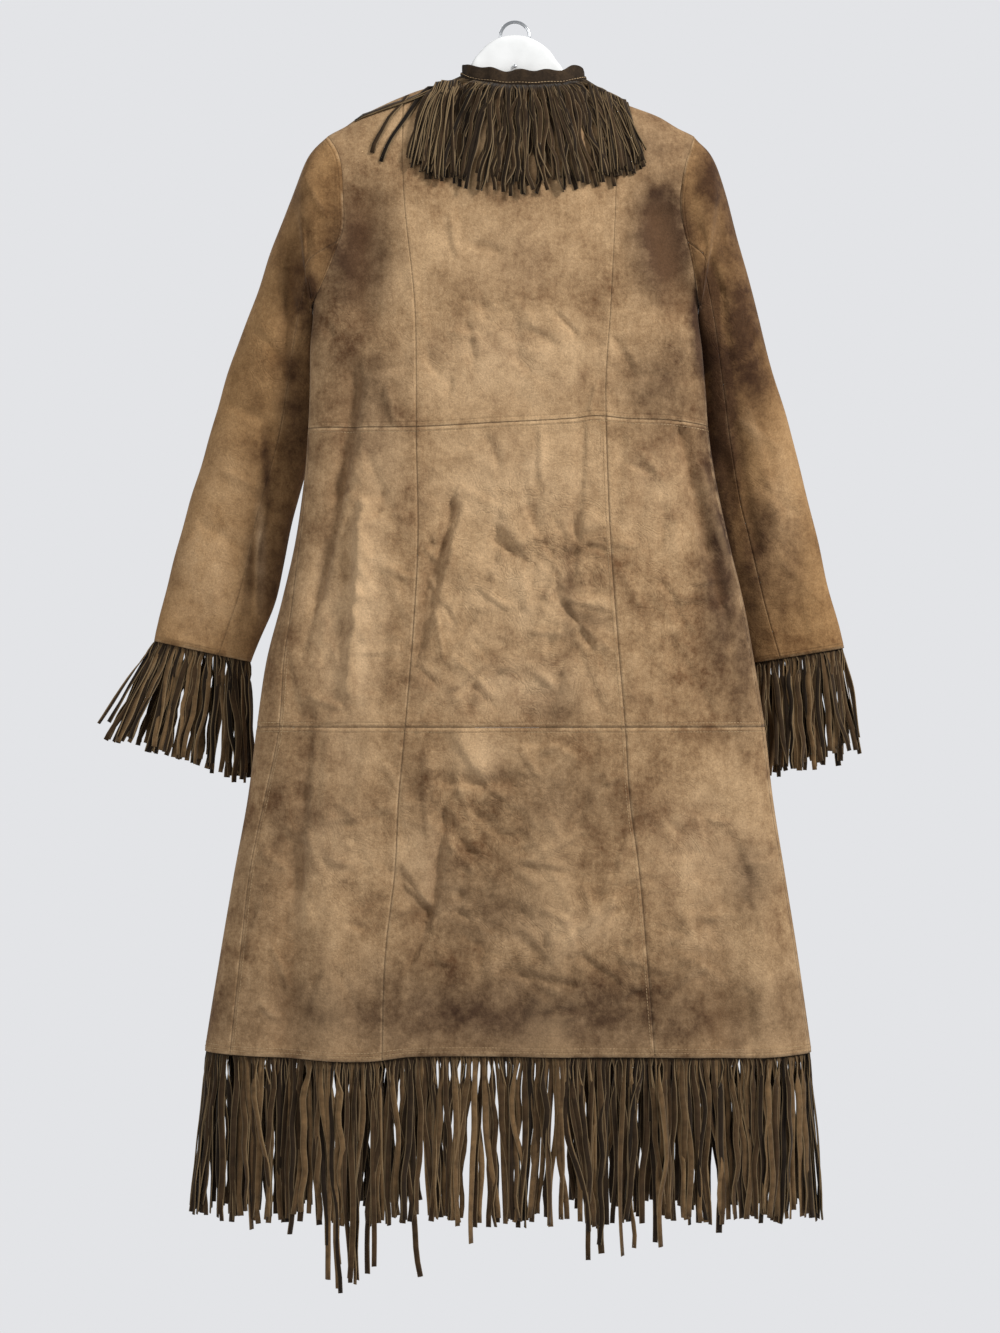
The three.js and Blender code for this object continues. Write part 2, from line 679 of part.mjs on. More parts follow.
const STRIPS = [
  {
    name: 'back_left',
    columns: 7,
    from: (level) => sideTurn('left', level, false),
    to: (level) => princessTurn('left', level),
  },
  {
    name: 'back_centre',
    columns: 11,
    from: (level) => princessTurn('left', level),
    to: (level) => princessTurn('right', level),
  },
  {
    name: 'back_right',
    columns: 7,
    from: (level) => princessTurn('right', level),
    to: (level) => sideTurn('right', level, false),
  },
  {
    name: 'front_left',
    columns: 10,
    from: (level) => sideTurn('left', level, true),
    to: (level) => frontEdgeTurn('left', level),
  },
  {
    name: 'front_right',
    columns: 10,
    from: (level) => sideTurn('right', level, true),
    to: (level) => frontEdgeTurn('right', level),
  },
];

function bodyPanels() {
  const meshes = [];
  for (const strip of STRIPS) {
    for (const [tier, levels] of Object.entries(TIERS)) {
      const pointAt = (level, share, off) => {
        const from = strip.from(level);
        return bodySurface(from + (strip.to(level) - from) * share, level, off);
      };
      meshes.push(clothPanel(`${strip.name}_${tier}`, levels, strip.columns, pointAt));
    }
  }
  return meshes;
}

// Places round the sleeve agree with the body rows at the armhole.
function sleevePlace(along, share, isUnder) {
  const back = SLEEVE_SEAM_BACK;
  const front = SLEEVE_SEAM_FRONT;
  if (isUnder) {
    const place = back + (front + 1 - back) * share;
    return place > 0.5 ? place - 1 : place;
  }
  return front + (back - front) * share;
}

function sleevePanels(side) {
  const alongs = [0, 0.5, 1, 2, 3, 4, 5, 6, 7, 8, 9];
  const pointAt = (isUnder) => (along, share, off) =>
    sleeveSurface(side, sleevePlace(along, share, isUnder), along, off);
  return [
    clothPanel(`sleeve_${side}_upper`, alongs, 12, pointAt(false)),
    clothPanel(`sleeve_${side}_under`, alongs, 8, pointAt(true)),
  ];
}

// Neck edge of the body at an angle from the centre back.
function neckPoint(angle) {
  const x = NECK_CENTRE + NECK_HALF_WIDTH * Math.sin(angle);
  const isFront = Math.cos(angle) < 0;
  return new THREE.Vector3(x, neckDepth(x, isFront), topEdge(x, isFront));
}

// Collar band: stands on the neck edge, off is how far outside its inner face.
function collarPoint(angle, height, off) {
  const point = neckPoint(angle);
  const outX = Math.sin(angle);
  const outY = -Math.cos(angle);
  const wave = COLLAR_WAVE * Math.cos((2 * Math.PI * (point.x + 57)) / COLLAR_WAVE_PITCH);
  const share = height / COLLAR_HEIGHT;
  point.x += outX * off;
  point.y += outY * off;
  const slack = COLLAR_FRONT_SLACK * clamp((Math.abs(angle) - 1.7) / 0.5, 0, 1);
  point.z += COLLAR_GAP + slack + height + wave * share;
  return point;
}

function collar() {
  const heights = [0, COLLAR_HEIGHT / 2, COLLAR_HEIGHT];
  const angleAt = (share) => COLLAR_END_ANGLE * (2 * share - 1);
  const outer = gridOf(heights, COLLAR_COLUMNS, (height, share) =>
    collarPoint(angleAt(share), height, -COLLAR_INSET),
  );
  const inner = gridOf(heights, COLLAR_COLUMNS, (height, share) =>
    collarPoint(angleAt(share), height, -COLLAR_INSET - COLLAR_THICKNESS),
  );
  const { positions, faces } = sheetBody(outer, inner);
  return meshOf('collar', COLOURS.dark, positions, faces);
}

// Fringe

// Gentle fixed wandering, alike for neighbours, different along the row.
function wander(i) {
  return Math.sin(i * 0.9) * 0.5 + Math.sin(i * 0.37 + 1.3) * 0.5;
}

// Flat four-sided strand along a path, its broad side facing outward: one
// direction, or one for each point of the path.
function strandBody(path, outward) {
  const positions = [];
  const faces = [];
  path.forEach((point, i) => {
    const before = path[Math.max(i - 1, 0)];
    const after = path[Math.min(i + 1, path.length - 1)];
    const heading = after.clone().sub(before).normalize();
    const facing = Array.isArray(outward) ? outward[i] : outward;
    const side = heading.clone().cross(facing).normalize();
    const out = side.clone().cross(heading).normalize();
    const halfWidth = STRAND_WIDTH / 2;
    const halfThick = STRAND_THICKNESS / 2;
    for (const [a, b] of [[1, 1], [-1, 1], [-1, -1], [1, -1]]) {
      const corner = point
        .clone()
        .addScaledVector(side, a * halfWidth)
        .addScaledVector(out, b * halfThick);
      positions.push(corner.x, corner.y, corner.z);
    }
  });
  const end = (path.length - 1) * 4;
  for (let i = 0; i < end; i += 4) {
    for (let j = 0; j < 4; j += 1) {
      const next = (j + 1) % 4;
      faces.push(i + j, i + 4 + j, i + 4 + next, i + j, i + 4 + next, i + next);
    }
  }
  faces.push(0, 1, 2, 0, 2, 3, end, end + 2, end + 1, end, end + 3, end + 2);
  faceOut(positions, faces);
  return { positions, faces };
}

function manifoldOf({ positions, faces }) {
  const mesh = new wasm.Mesh({
    numProp: 3,
    vertProperties: new Float32Array(positions),
    triVerts: new Uint32Array(faces),
  });
  return new wasm.Manifold(mesh);
}

// Joins a strip and its strands into one closed body.
function fringeMesh(name, strip, strands) {
  let whole = manifoldOf(strip);
  for (const strand of strands) {
    whole = whole.add(manifoldOf(strand));
  }
  const joined = whole.getMesh();
  let geometry = new THREE.BufferGeometry();
  geometry.setAttribute(
    'position',
    new THREE.Float32BufferAttribute(Array.from(joined.vertProperties), 3),
  );
  geometry.setIndex(Array.from(joined.triVerts));
  geometry = mergeVertices(geometry, 0.001);
  const positions = Array.from(geometry.getAttribute('position').array);
  return meshOf(name, COLOURS.dark, positions, Array.from(geometry.getIndex().array));
}

// Cut strip inside an edge of the cloth, with the same columns as the cloth.
function stripBody(levels, places, setback, pointAt) {
  const gridAt = (off) =>
    levels.map((level) => places.map((place) => pointAt(place, level, off)));
  return sheetBody(gridAt(-setback), gridAt(-setback - TAPE_THICKNESS));
}

function placesBetween(from, to, columns) {
  return Array.from({ length: columns + 1 }, (_, j) => from + ((to - from) * j) / columns);
}

function hemTip(x, y, i) {
  let tip = HEM_LEVEL - HEM_FRINGE_LENGTH - 5 - 4 * wander(i * 2.1);
  for (const long of LONG_STRANDS) {
    if (y < 0 && Math.abs(long.x - x) < 6) {
      tip = long.tip;
    }
  }
  return tip;
}

// Hem fringe behind the panels whose columns it is given.
function hemFringe(name, turns, count) {
  const setback = HEM_SETBACK + TAPE_THICKNESS / 2;
  const levels = [HEM_LEVEL + TAPE_HEIGHT, HEM_LEVEL - 1];
  const strip = stripBody(levels, turns, HEM_SETBACK, bodySurface);
  const strands = [];
  for (let i = 0; i < count; i += 1) {
    const place = ((i + 0.5) / count) * (turns.length - 1);
    const k = Math.floor(place);
    const rootAt = (turn) => bodySurface(turn, HEM_LEVEL + 1.6, -setback);
    const root = rootAt(turns[k]).lerp(rootAt(turns[k + 1]), place - k);
    const outward = bodyNormal(turns[k], HEM_LEVEL);
    outward.lerp(bodyNormal(turns[k + 1], HEM_LEVEL), place - k);
    outward.z = 0;
    outward.normalize();
    const tip = hemTip(root.x, root.y, i);
    const sway = 2 * wander(i);
    const flare = -0.006 * root.x;
    const layer = i % 2 === 0 ? -0.2 : -2.8;
    const at = (share, swing) =>
      new THREE.Vector3(
        root.x + flare * share + swing,
        root.y - outward.y * 3 * share,
        root.z + (tip - root.z) * share,
      ).addScaledVector(outward, layer);
    const path = [root, at(0.45, sway), at(1, -0.4 * sway)];
    strands.push(strandBody(path, outward));
  }
  return fringeMesh(name, strip, strands);
}

function cuffFringe(side) {
  const setback = CUFF_SETBACK + TAPE_THICKNESS / 2;
  const surface = (place, along, off) => sleeveSurface(side, place, along, off);
  const start = SLEEVE_LAST - 0.14;
  const places = [
    -0.497,
    ...placesBetween(-0.45, SLEEVE_SEAM_FRONT, 3),
    ...placesBetween(SLEEVE_SEAM_FRONT, SLEEVE_SEAM_BACK, 12).slice(1),
    ...placesBetween(0.35, 0.45, 2),
    0.497,
  ];
  const strip = stripBody([start, SLEEVE_LAST + 0.012], places, CUFF_SETBACK, surface);
  const hand = side === 'left' ? -1 : 1;
  const strands = [];
  for (let i = 0; i < CUFF_STRANDS; i += 1) {
    const wanted = -0.5 + (i + 0.5) / CUFF_STRANDS;
    const k = places.findIndex((one) => one >= wanted) - 1;
    const between = (wanted - places[k]) / (places[k + 1] - places[k]);
    const place = wanted;
    const rootAt = (one) => surface(one, SLEEVE_LAST - 0.025, -setback);
    const root = rootAt(places[k]).lerp(rootAt(places[k + 1]), between);
    const heading = surface(place, SLEEVE_LAST - 0.3, -setback).sub(root).normalize();
    const outward = surface(place, SLEEVE_LAST - 0.025, 1).sub(root);
    outward.addScaledVector(heading, -outward.dot(heading)).normalize();
    const outerShare = (1 + Math.cos(2 * Math.PI * place)) / 2;
    const spread = side === 'left' ? 50 * outerShare + 3 : 10 * outerShare - 3;
    const drop = CUFF_FRINGE_LENGTH + 6 * wander(i) - 8 * outerShare;
    const sway = 1.5 * wander(i + 3);
    const at = (share, swing) =>
      new THREE.Vector3(
        root.x + hand * spread * share + swing,
        root.y - 6 * share,
        root.z - drop * share,
      );
    strands.push(strandBody([root, at(0.4, sway), at(1, -sway)], outward));
  }
  return fringeMesh(`cuff_fringe_${side}`, strip, strands);
}

// Face of the upper body at a place seen from behind or from the front.
function faceDepth(x, z, isFront) {
  const top = topEdge(x, isFront);
  const fall = clamp((top - z) / (top - ARMPIT_LEVEL), 0, 1);
  const level = NECK_LEVEL + (ARMPIT_LEVEL - NECK_LEVEL) * fall;
  return bodySurface(turnAt(x, level, isFront), level).y;
}

// Over a shoulder a strand rides on the ridge, elsewhere on the face.
function collarStrand(start, angle, endX, endZ, i) {
  const isFront = Math.cos(angle) < 0;
  const hand = isFront ? 1 : -1;
  const lift = 2.4 + (i % 2) * 1.8;
  const path = [start];
  const facing = [new THREE.Vector3(Math.sin(angle), -Math.cos(angle), 0)];
  const bends = Math.abs(Math.sin(angle)) > 0.7 ? [0.1, 0.25, 0.5, 1] : [0.12, 0.46, 1];
  for (const share of bends) {
    const x = start.x + (endX - start.x) * share;
    const z = start.z + (endZ - start.z) * share;
    const ridge = topEdge(x, isFront);
    if (Math.abs(x - NECK_CENTRE) > NECK_HALF_WIDTH && z > ridge - 9) {
      path.push(new THREE.Vector3(x, start.y * (1 - share) + hand * 2, ridge + lift));
      facing.push(new THREE.Vector3(0, hand * 0.3, 1));
    } else {
      const nearRidge = clamp(1 - (ridge - z) / 40, 0, 1);
      const aside = Math.abs(x - NECK_CENTRE) > 45 ? 5.5 : 0;
      const off = lift + (isFront ? 3 : 0) + aside * nearRidge;
      const y = hand * Math.max(hand * faceDepth(x, z, isFront) + off, 3);
      path.push(new THREE.Vector3(x, y, z));
      facing.push(new THREE.Vector3(0.3 * Math.sin(angle), hand, 0.15).normalize());
    }
  }
  return strandBody(path, facing);
}

// Angles that part the neck ring evenly along its length.
function evenAngles(count) {
  const steps = 400;
  const angleOf = (i) => COLLAR_END_ANGLE * ((2 * i) / steps - 1);
  const lengths = [0];
  for (let i = 1; i <= steps; i += 1) {
    const step = neckPoint(angleOf(i)).distanceTo(neckPoint(angleOf(i - 1)));
    lengths.push(lengths[i - 1] + step);
  }
  return Array.from({ length: count }, (_, k) => {
    const wanted = (lengths[steps] * (k + 0.5)) / count;
    return angleOf(lengths.findIndex((length) => length >= wanted));
  });
}

function collarFringe() {
  const angleAt = (share) => COLLAR_END_ANGLE * (2 * share - 1);
  const heights = [0.4, 6.4];
  const foot = (angle) => 5.5 * clamp((Math.abs(angle) - 1) / 0.4, 0, 1);
  const stripGrid = (off) =>
    gridOf(heights, COLLAR_COLUMNS, (height, share) => {
      const angle = angleAt(share);
      return collarPoint(angle, height + foot(angle), off);
    });
  const near = 0.35 - COLLAR_INSET;
  const strip = sheetBody(stripGrid(near + TAPE_THICKNESS), stripGrid(near));
  const rootAt = (angle) =>
    collarPoint(angle, 2.4 + foot(angle), near + TAPE_THICKNESS / 2);
  const strands = evenAngles(COLLAR_STRANDS).map((angle, i) => {
    const fan = Math.sin(angle);
    const isFront = Math.cos(angle) < 0;
    const endX = isFront ? NECK_CENTRE + 112 * fan : 13 + 128 * fan;
    const fall = isFront ? -238 : -198;
    const endZ = fall + (isFront ? 66 : 34) * Math.abs(fan) ** 3 + 5 * wander(i);
    return collarStrand(rootAt(angle), angle, endX, endZ, i);
  });
  STRAY_STRANDS.forEach((stray, i) => {
    strands.push(collarStrand(rootAt(stray.angle), stray.angle, stray.x1, stray.z1, i + 1));
  });
  return fringeMesh('collar_fringe', strip, strands);
}

// Hanger

function hanger() {
  const positions = [];
  const faces = [];
  const corners = 10;
  for (const station of HANGER_STATIONS) {
    const middle = (station.top + station.bottom) / 2;
    const half = (station.top - station.bottom) / 2;
    for (let i = 0; i < corners; i += 1) {
      const angle = (2 * Math.PI * (i + 0.5)) / corners;
      const y = station.back + station.half * power(Math.cos(angle), 0.6);
      const z = middle + half * power(Math.sin(angle), 0.6);
      positions.push(station.x, y, z);
    }
  }
  const end = (HANGER_STATIONS.length - 1) * corners;
  for (let i = 0; i < end; i += corners) {
    for (let j = 0; j < corners; j += 1) {
      const next = (j + 1) % corners;
      const across = i + corners;
      faces.push(i + j, across + j, across + next, i + j, across + next, i + next);
    }
  }
  for (let j = 1; j < corners - 1; j += 1) {
    faces.push(0, j, j + 1, end, end + j + 1, end + j);
  }
  faceOut(positions, faces);
  return meshOf('hanger', COLOURS.white, positions, faces);
}

function hook() {
  const centre = -(HOOK_RADIUS - WIRE_RADIUS);
  const points = [];
  for (let degrees = -15; degrees <= 215; degrees += 23) {
    const angle = (degrees * Math.PI) / 180;
    points.push(
      new THREE.Vector3(
        HOOK_RADIUS * Math.cos(angle),
        0,
        centre + HOOK_RADIUS * Math.sin(angle),
      ),
    );
  }
  points.push(new THREE.Vector3(-3, 0, centre - 19));
  points.push(new THREE.Vector3(0, 0, centre - 26));
  points.push(new THREE.Vector3(0, 0, STEM_END));
  const path = new THREE.CatmullRomCurve3(points);
  const circle = new THREE.Shape();
  circle.absarc(0, 0, WIRE_RADIUS, 0, 2 * Math.PI, false);
  let geometry = new THREE.ExtrudeGeometry(circle, {
    steps: 30,
    curveSegments: 4,
    extrudePath: path,
  });
  geometry.deleteAttribute('normal');
  geometry.deleteAttribute('uv');
  geometry = mergeVertices(geometry, 0.001);
  const positions = Array.from(geometry.getAttribute('position').array);
  const faces = Array.from(geometry.getIndex().array);
  faceOut(positions, faces);
  return meshOf('hook', COLOURS.steel, positions, faces, 1);
}

function rivet() {
  let geometry = new THREE.CylinderGeometry(RIVET_RADIUS * 0.7, RIVET_RADIUS, RIVET_HEIGHT, 14);
  geometry.deleteAttribute('normal');
  geometry.deleteAttribute('uv');
  geometry = mergeVertices(geometry, 0.001);
  geometry.rotateZ(Math.PI);
  const rear = PLATE_SETBACK - PLATE_HALF_THICKNESS;
  geometry.translate(0, rear - 0.3 - RIVET_HEIGHT / 2, RIVET_LEVEL);
  const positions = Array.from(geometry.getAttribute('position').array);
  const faces = Array.from(geometry.getIndex().array);
  faceOut(positions, faces);
  return meshOf('rivet', COLOURS.steel, positions, faces, 1);
}

// Columns of the panels at the hem, so that the strip runs along them.
function hemTurns(name) {
  const strip = STRIPS.find((one) => one.name === name);
  return placesBetween(strip.from(HEM_LEVEL), strip.to(HEM_LEVEL), strip.columns);
}

function hemFringes() {
  const back = [
    ...hemTurns('back_left'),
    ...hemTurns('back_centre').slice(1),
    ...hemTurns('back_right').slice(1),
  ];
  back[0] += HEM_PART;
  back[back.length - 1] -= HEM_PART;
  const left = hemTurns('front_left');
  left[0] -= HEM_PART;
  const right = hemTurns('front_right');
  right[0] += HEM_PART;
  return [
    hemFringe('hem_fringe_back', back, HEM_STRANDS_BACK),
    hemFringe('hem_fringe_front_left', left, HEM_STRANDS_FRONT),
    hemFringe('hem_fringe_front_right', right, HEM_STRANDS_FRONT),
  ];
}

const coat = new THREE.Group();
coat.name = 'fringed_duster_coat';
const meshes = [
  ...bodyPanels(),
  ...sleevePanels('left'),
  ...sleevePanels('right'),
  collar(),
  collarFringe(),
  cuffFringe('left'),
  cuffFringe('right'),
  ...hemFringes(),
  hanger(),
  hook(),
  rivet(),
];
for (const mesh of meshes) {
  coat.add(mesh);
}

export default coat;
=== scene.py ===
# %% [markdown]
# # A fringed suede duster on its hanger
# A long coat cut from goat or pig suede, seen from the back as it hangs flat
# on a domed hanger. The body is fifteen flat panels sewn edge to edge, so we
# describe one smooth body surface with a few level sections and lay every
# panel on it. Millimetres are used throughout and turned to metres when a
# mesh is made.

import bpy
import numpy as np
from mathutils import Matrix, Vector


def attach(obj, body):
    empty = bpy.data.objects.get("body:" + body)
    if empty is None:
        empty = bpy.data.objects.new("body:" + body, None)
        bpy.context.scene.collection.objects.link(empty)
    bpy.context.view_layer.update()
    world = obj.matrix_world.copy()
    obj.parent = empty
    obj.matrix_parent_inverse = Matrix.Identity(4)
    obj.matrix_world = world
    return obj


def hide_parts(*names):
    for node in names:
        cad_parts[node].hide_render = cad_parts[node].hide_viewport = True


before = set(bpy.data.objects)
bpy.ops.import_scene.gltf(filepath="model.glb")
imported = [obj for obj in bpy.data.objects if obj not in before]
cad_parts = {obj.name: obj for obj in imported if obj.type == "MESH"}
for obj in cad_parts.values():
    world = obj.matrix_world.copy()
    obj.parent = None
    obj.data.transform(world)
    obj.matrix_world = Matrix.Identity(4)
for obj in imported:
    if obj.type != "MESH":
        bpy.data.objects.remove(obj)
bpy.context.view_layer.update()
MM = 0.001


# %% [markdown]
# ## Tables of the cut
# A pattern maker notes a garment as a handful of measured levels. Each table
# below is such a note: one row for a section, a seam or an edge, with named
# columns. `follow` draws a smooth curve through any two columns.

# %% Tables and curves
def table(names, rows):
    """Named columns from rows of numbers, written as a block of text or as a list."""
    columns = names.split()
    numbers = np.array(rows.split() if isinstance(rows, str) else rows, float)
    return dict(zip(columns, numbers.reshape(-1, len(columns)).T))


def cubic(start, slope_in, stop, slope_out, t):
    """Curve from start to stop as t goes from 0 to 1, with these slopes at its ends."""
    t2, t3 = t * t, t * t * t
    return (
        start * (2 * t3 - 3 * t2 + 1)
        + slope_in * (t3 - 2 * t2 + t)
        + stop * (3 * t2 - 2 * t3)
        + slope_out * (t3 - t2)
    )


def follow(notes, key, value, at):
    """Cubic through the table: value against key, slopes from the neighbours' chords."""
    places, values = notes[key], notes[value]
    if places[0] > places[-1]:
        places, values = places[::-1], values[::-1]
    last = len(places) - 1
    at = np.clip(np.asarray(at, float), places[0], places[-1])
    k = np.clip(np.searchsorted(places, at, side="right") - 1, 0, last - 1)
    row = np.arange(last + 1)
    ahead, behind = np.minimum(row + 1, last), np.maximum(row - 1, 0)
    slope = (values[ahead] - values[behind]) / (places[ahead] - places[behind])
    span = places[k + 1] - places[k]
    share = (at - places[k]) / span
    return cubic(values[k], slope[k] * span, values[k + 1], slope[k + 1] * span, share)


WALL = 1.5  # suede thickness
NECK, ARMPIT, WAIST, KNEE, HEM = -75.0, -315.0, -449.0, -785.0, -1147.0  # levels
SQUARENESS = 2.8  # how flat the body ring is, 2 would be an ellipse
NECK_MIDDLE, NECK_HALF, NECK_BACK, NECK_FRONT = 10.0, 69.0, 30.0, 44.0

SECTIONS = table("level left right back front", """
    -75 -315 312 44 46
    -195 -268 254 45 47
    -270 -236 220 44 47
    -315 -225.5 205 43 46
    -364 -228.5 209 43 46
    -410 -229 213 44 46
    -452 -231 216 45 46
    -507 -235 224 46 47
    -579 -245 239 48 48
    -645 -260 255 50 50
    -711 -277 267 51 51
    -786 -288 279 52 52
    -865 -298 288 54 53
    -953 -314 302 55 54
    -1041 -329 316 57 55
    -1147 -346 331 58 56
    -1180 -350 335 58 56
""")
BACK_TOP = table("x z", """
    -240 -150   -209 -126   -189 -115   -171 -103   -149 -92   -129 -83   -105 -74   -83 -69   -59 -67
    -30 -74   10 -78   50 -75   79 -70   100 -79   126 -91   160 -104   182 -117   200 -126   235 -150
""")
FRONT_NECK = table("x z", """
    -59 -67   -55 -79   -47 -93   -35 -106   -20 -115   10 -120   40 -116   55 -107   67 -95   75 -82
    79 -70
""")
ARMHOLE = {
    "left": table("z x", """
    -126 -209   -146 -197   -168 -191.5   -205 -190   -232 -190   -260 -199   -282 -208   -300 -217
    -315 -225.5
"""),
    "right": table("z x", """
    -126 200   -142 195   -160 189   -183 184.5   -205 182.5   -230 186   -260 194   -290 201   -315 205
"""),
}
LONG_SEAMS = table("level princess_left princess_right side_left side_right", """
    -75 -125 114 0 0
    -195 -123 111 0 0
    -315 -111 105.5 0 0
    -400 -109 100 0.5 1
    -452 -109 100 2 2
    -579 -107 105 6 3
    -690 -113 113 19 4
    -786 -121 121 27 4
    -865 -128 126 21 4
    -941 -132 136 19 4
    -1041 -143 145 25 4
    -1147 -146 153 31 4
    -1180 -146 154 31 4
""")
FRONT_EDGES = table("level left right", """
    -75 -5 25   -315 -4 22   -452 -8 20   -645 -25 22   -786 -45 28   -953 -68 38   -1147 -93 50
    -1180 -97 52
""")
WAIST_DRIFT = table("x z", """
    -231 -4   -113 -5   -11 0   63 4   90 7   125 4   174 3   216 -2
""")
HEM_DRIFT = table("x z", """
    -346 1.5   -240 -2   -163 -4.5   -110 1.5   68 1   162 0   255 -2   331 0
""")
print("levels of the body sections:", len(SECTIONS["level"]))


# %% [markdown]
# ## The body surface
# On the real coat the cloth makes one flattened tube, open down the front.
# A point on it is named by its turn round the ring (0 is the centre back, a
# half is a side seam, 1 the centre front) and by its level. Above the armpit
# the rows climb onto the sloping shoulders.

# %% Body surface
def soft_power(values, exponent):
    """Power that keeps the sign, which squares up a circle."""
    return np.sign(values) * np.abs(values) ** exponent


def ring_at(level):
    """Middle, half width, back depth and front depth of the ring at a level."""
    columns = ("left", "right", "back", "front")
    left, right, back, front = (follow(SECTIONS, "level", key, level) for key in columns)
    return (left + right) / 2, (right - left) / 2, back, front


def top_edge(x, front):
    """Height of the shoulder and neck line above each x."""
    in_neck = front & (np.abs(x - NECK_MIDDLE) < NECK_HALF)
    return np.where(in_neck, follow(FRONT_NECK, "x", "z", x), follow(BACK_TOP, "x", "z", x))


def neck_depth(x, front):
    """Half ellipse each way: how far the neck edge stands off the hanger plane."""
    share = np.clip(np.abs(x - NECK_MIDDLE) / NECK_HALF, 0, 1)
    return np.where(front, NECK_FRONT, -NECK_BACK) * np.sqrt(1 - share * share)


def seam_drift(x, level):
    """Rise and fall of the waist and hem seams, fading away from each."""
    waist = follow(WAIST_DRIFT, "x", "z", x) * np.exp(-(((level - WAIST) / 60) ** 2))
    hem = follow(HEM_DRIFT, "x", "z", x) * np.exp(-(((level - HEM) / 80) ** 2))
    return waist + hem


def body_base(turn, level):
    """Squared oval ring: x from the sine, depth from the cosine of the turn. Above the
    armpit the height runs from the top edge down, and the depth opens like a quarter round."""
    turn, level = np.broadcast_arrays(turn, level)
    middle, half, back, front = ring_at(level)
    angle = np.pi * turn
    is_front = np.cos(angle) < 0
    x = middle + half * soft_power(np.sin(angle), 2 / SQUARENESS)
    full = -np.where(is_front, front, back) * soft_power(np.cos(angle), 2 / SQUARENESS)
    fall = np.clip((NECK - level) / (NECK - ARMPIT), 0, 1)
    lip, top = neck_depth(x, is_front), top_edge(x, is_front)
    above = level > ARMPIT
    y = np.where(above, lip + (full - lip) * np.sqrt(fall * (2 - fall)), full)
    z = np.where(above, top + (ARMPIT - top) * fall, level + seam_drift(x, level))
    return np.stack([x, y, z], axis=-1)


def unit(vectors):
    """Vectors scaled to length one."""
    return vectors / np.maximum(np.linalg.norm(vectors, axis=-1, keepdims=True), 1e-12)


def body_normal(turn, level):
    """Outward normal from small steps each way along the surface."""
    turn, level = np.broadcast_arrays(np.asarray(turn, float), np.asarray(level, float))
    low = np.minimum(level, NECK - 0.02)
    step = np.minimum(0.5, NECK - low)
    across = body_base(turn + 0.0005, low) - body_base(turn - 0.0005, low)
    upward = body_base(turn, low + step) - body_base(turn, low - step)
    return unit(np.cross(across, upward))


def turn_at(x, level, front, hand=None):
    """Turn of the ring where it has this x, on the back or on the front."""
    middle, half, _, _ = ring_at(level)
    share = np.clip(np.abs(x - middle) / half, 0, 1)
    angle = np.arcsin(share ** (SQUARENESS / 2)) / np.pi
    sign = np.where(x < middle, -1.0, 1.0)
    if hand is None:
        return sign * np.where(front, 1 - angle, angle)
    return hand * (1 - np.where(sign == hand, angle, -angle))


def armhole_turn(side, level, front):
    """Turn of the armhole seam: its x and height are found from each other in turn."""
    fall = np.clip((NECK - level) / (NECK - ARMPIT), 0, 1)
    x = np.full_like(fall, -205.0 if side == "left" else 196.0)
    for _ in range(6):
        top = top_edge(x, np.full(fall.shape, front))
        x = follow(ARMHOLE[side], "z", "x", top + (ARMPIT - top) * fall)
    end = -0.5 if side == "left" else 0.5
    return np.where(fall > 0.9999, end, turn_at(x, level, front))


def side_turn(side, level, front):
    """Armhole seam above the armpit, side seam below it."""
    middle, half, _, _ = ring_at(level)
    inside = np.maximum(0, follow(LONG_SEAMS, "level", "side_" + side, level))
    x = middle + (half - inside) * (-1 if side == "left" else 1)
    return np.where(level >= ARMPIT, armhole_turn(side, level, front), turn_at(x, level, False))


def princess_turn(side, level):
    """Long curved seam down the back."""
    return turn_at(follow(LONG_SEAMS, "level", "princess_" + side, level), level, False)


def front_turn(side, level):
    """Free edge of a front."""
    hand = -1 if side == "left" else 1
    return turn_at(follow(FRONT_EDGES, "level", side, level), level, True, hand)


# %% [markdown]
# ## Folds and creases
# Heavy suede keeps the soft folds it was stored with. Each is a ridge or a
# trough between two points, with a width and a rise, highest on its line and
# fading like a bell. The big ones are in the solids too, and the small ones
# are only here: some placed one by one where the coat shows them, some strewn
# with a fixed seed where it is crumpled.

# %% Fold tables
FOLD = "x0 z0 x1 z1 width rise"
CREASE = FOLD + " crisp"  # crisp: 1 steep on the right going down, -1 on the left
BACK_FOLDS = table(CREASE, """
    -173 -405 -190 -520 17 -7 1
    -190 -520 -216 -640 13 -6 1
    -170 -556 -184 -745 14 6 -1
    -67 -542 -103 -696 13 -5 1
    188 -462 232 -640 15 -7 1
    206 -500 246 -625 13 4 1
    -78 -846 -2 -845 11 -4 -1
    -55 -790 -48 -830 20 5 0
    -132 -945 -102 -990 14 -4 1
    -76 -886 -90 -990 14 -4 1
    -166 -215 -170 -320 24 -8 0
    160 -225 184 -315 22 -8 0
    -248 -915 -256 -1180 20 -6 0
    -198 -985 -205 -1180 24 5 0
    40 -900 42 -1180 34 5 0
    214 -880 232 -1180 26 -6 0
    268 -930 285 -1180 20 5 0
""")
FRONT_FOLDS = table(FOLD, """
    -150 -200 -165 -420 24 -7
    135 -210 160 -430 24 -7
    -110 -480 -140 -760 22 6
    120 -500 165 -790 20 -6
    -215 -780 -240 -1180 26 -7
    -160 -820 -175 -1180 26 6
    110 -860 128 -1180 26 6
    200 -760 225 -1180 26 -7
""")
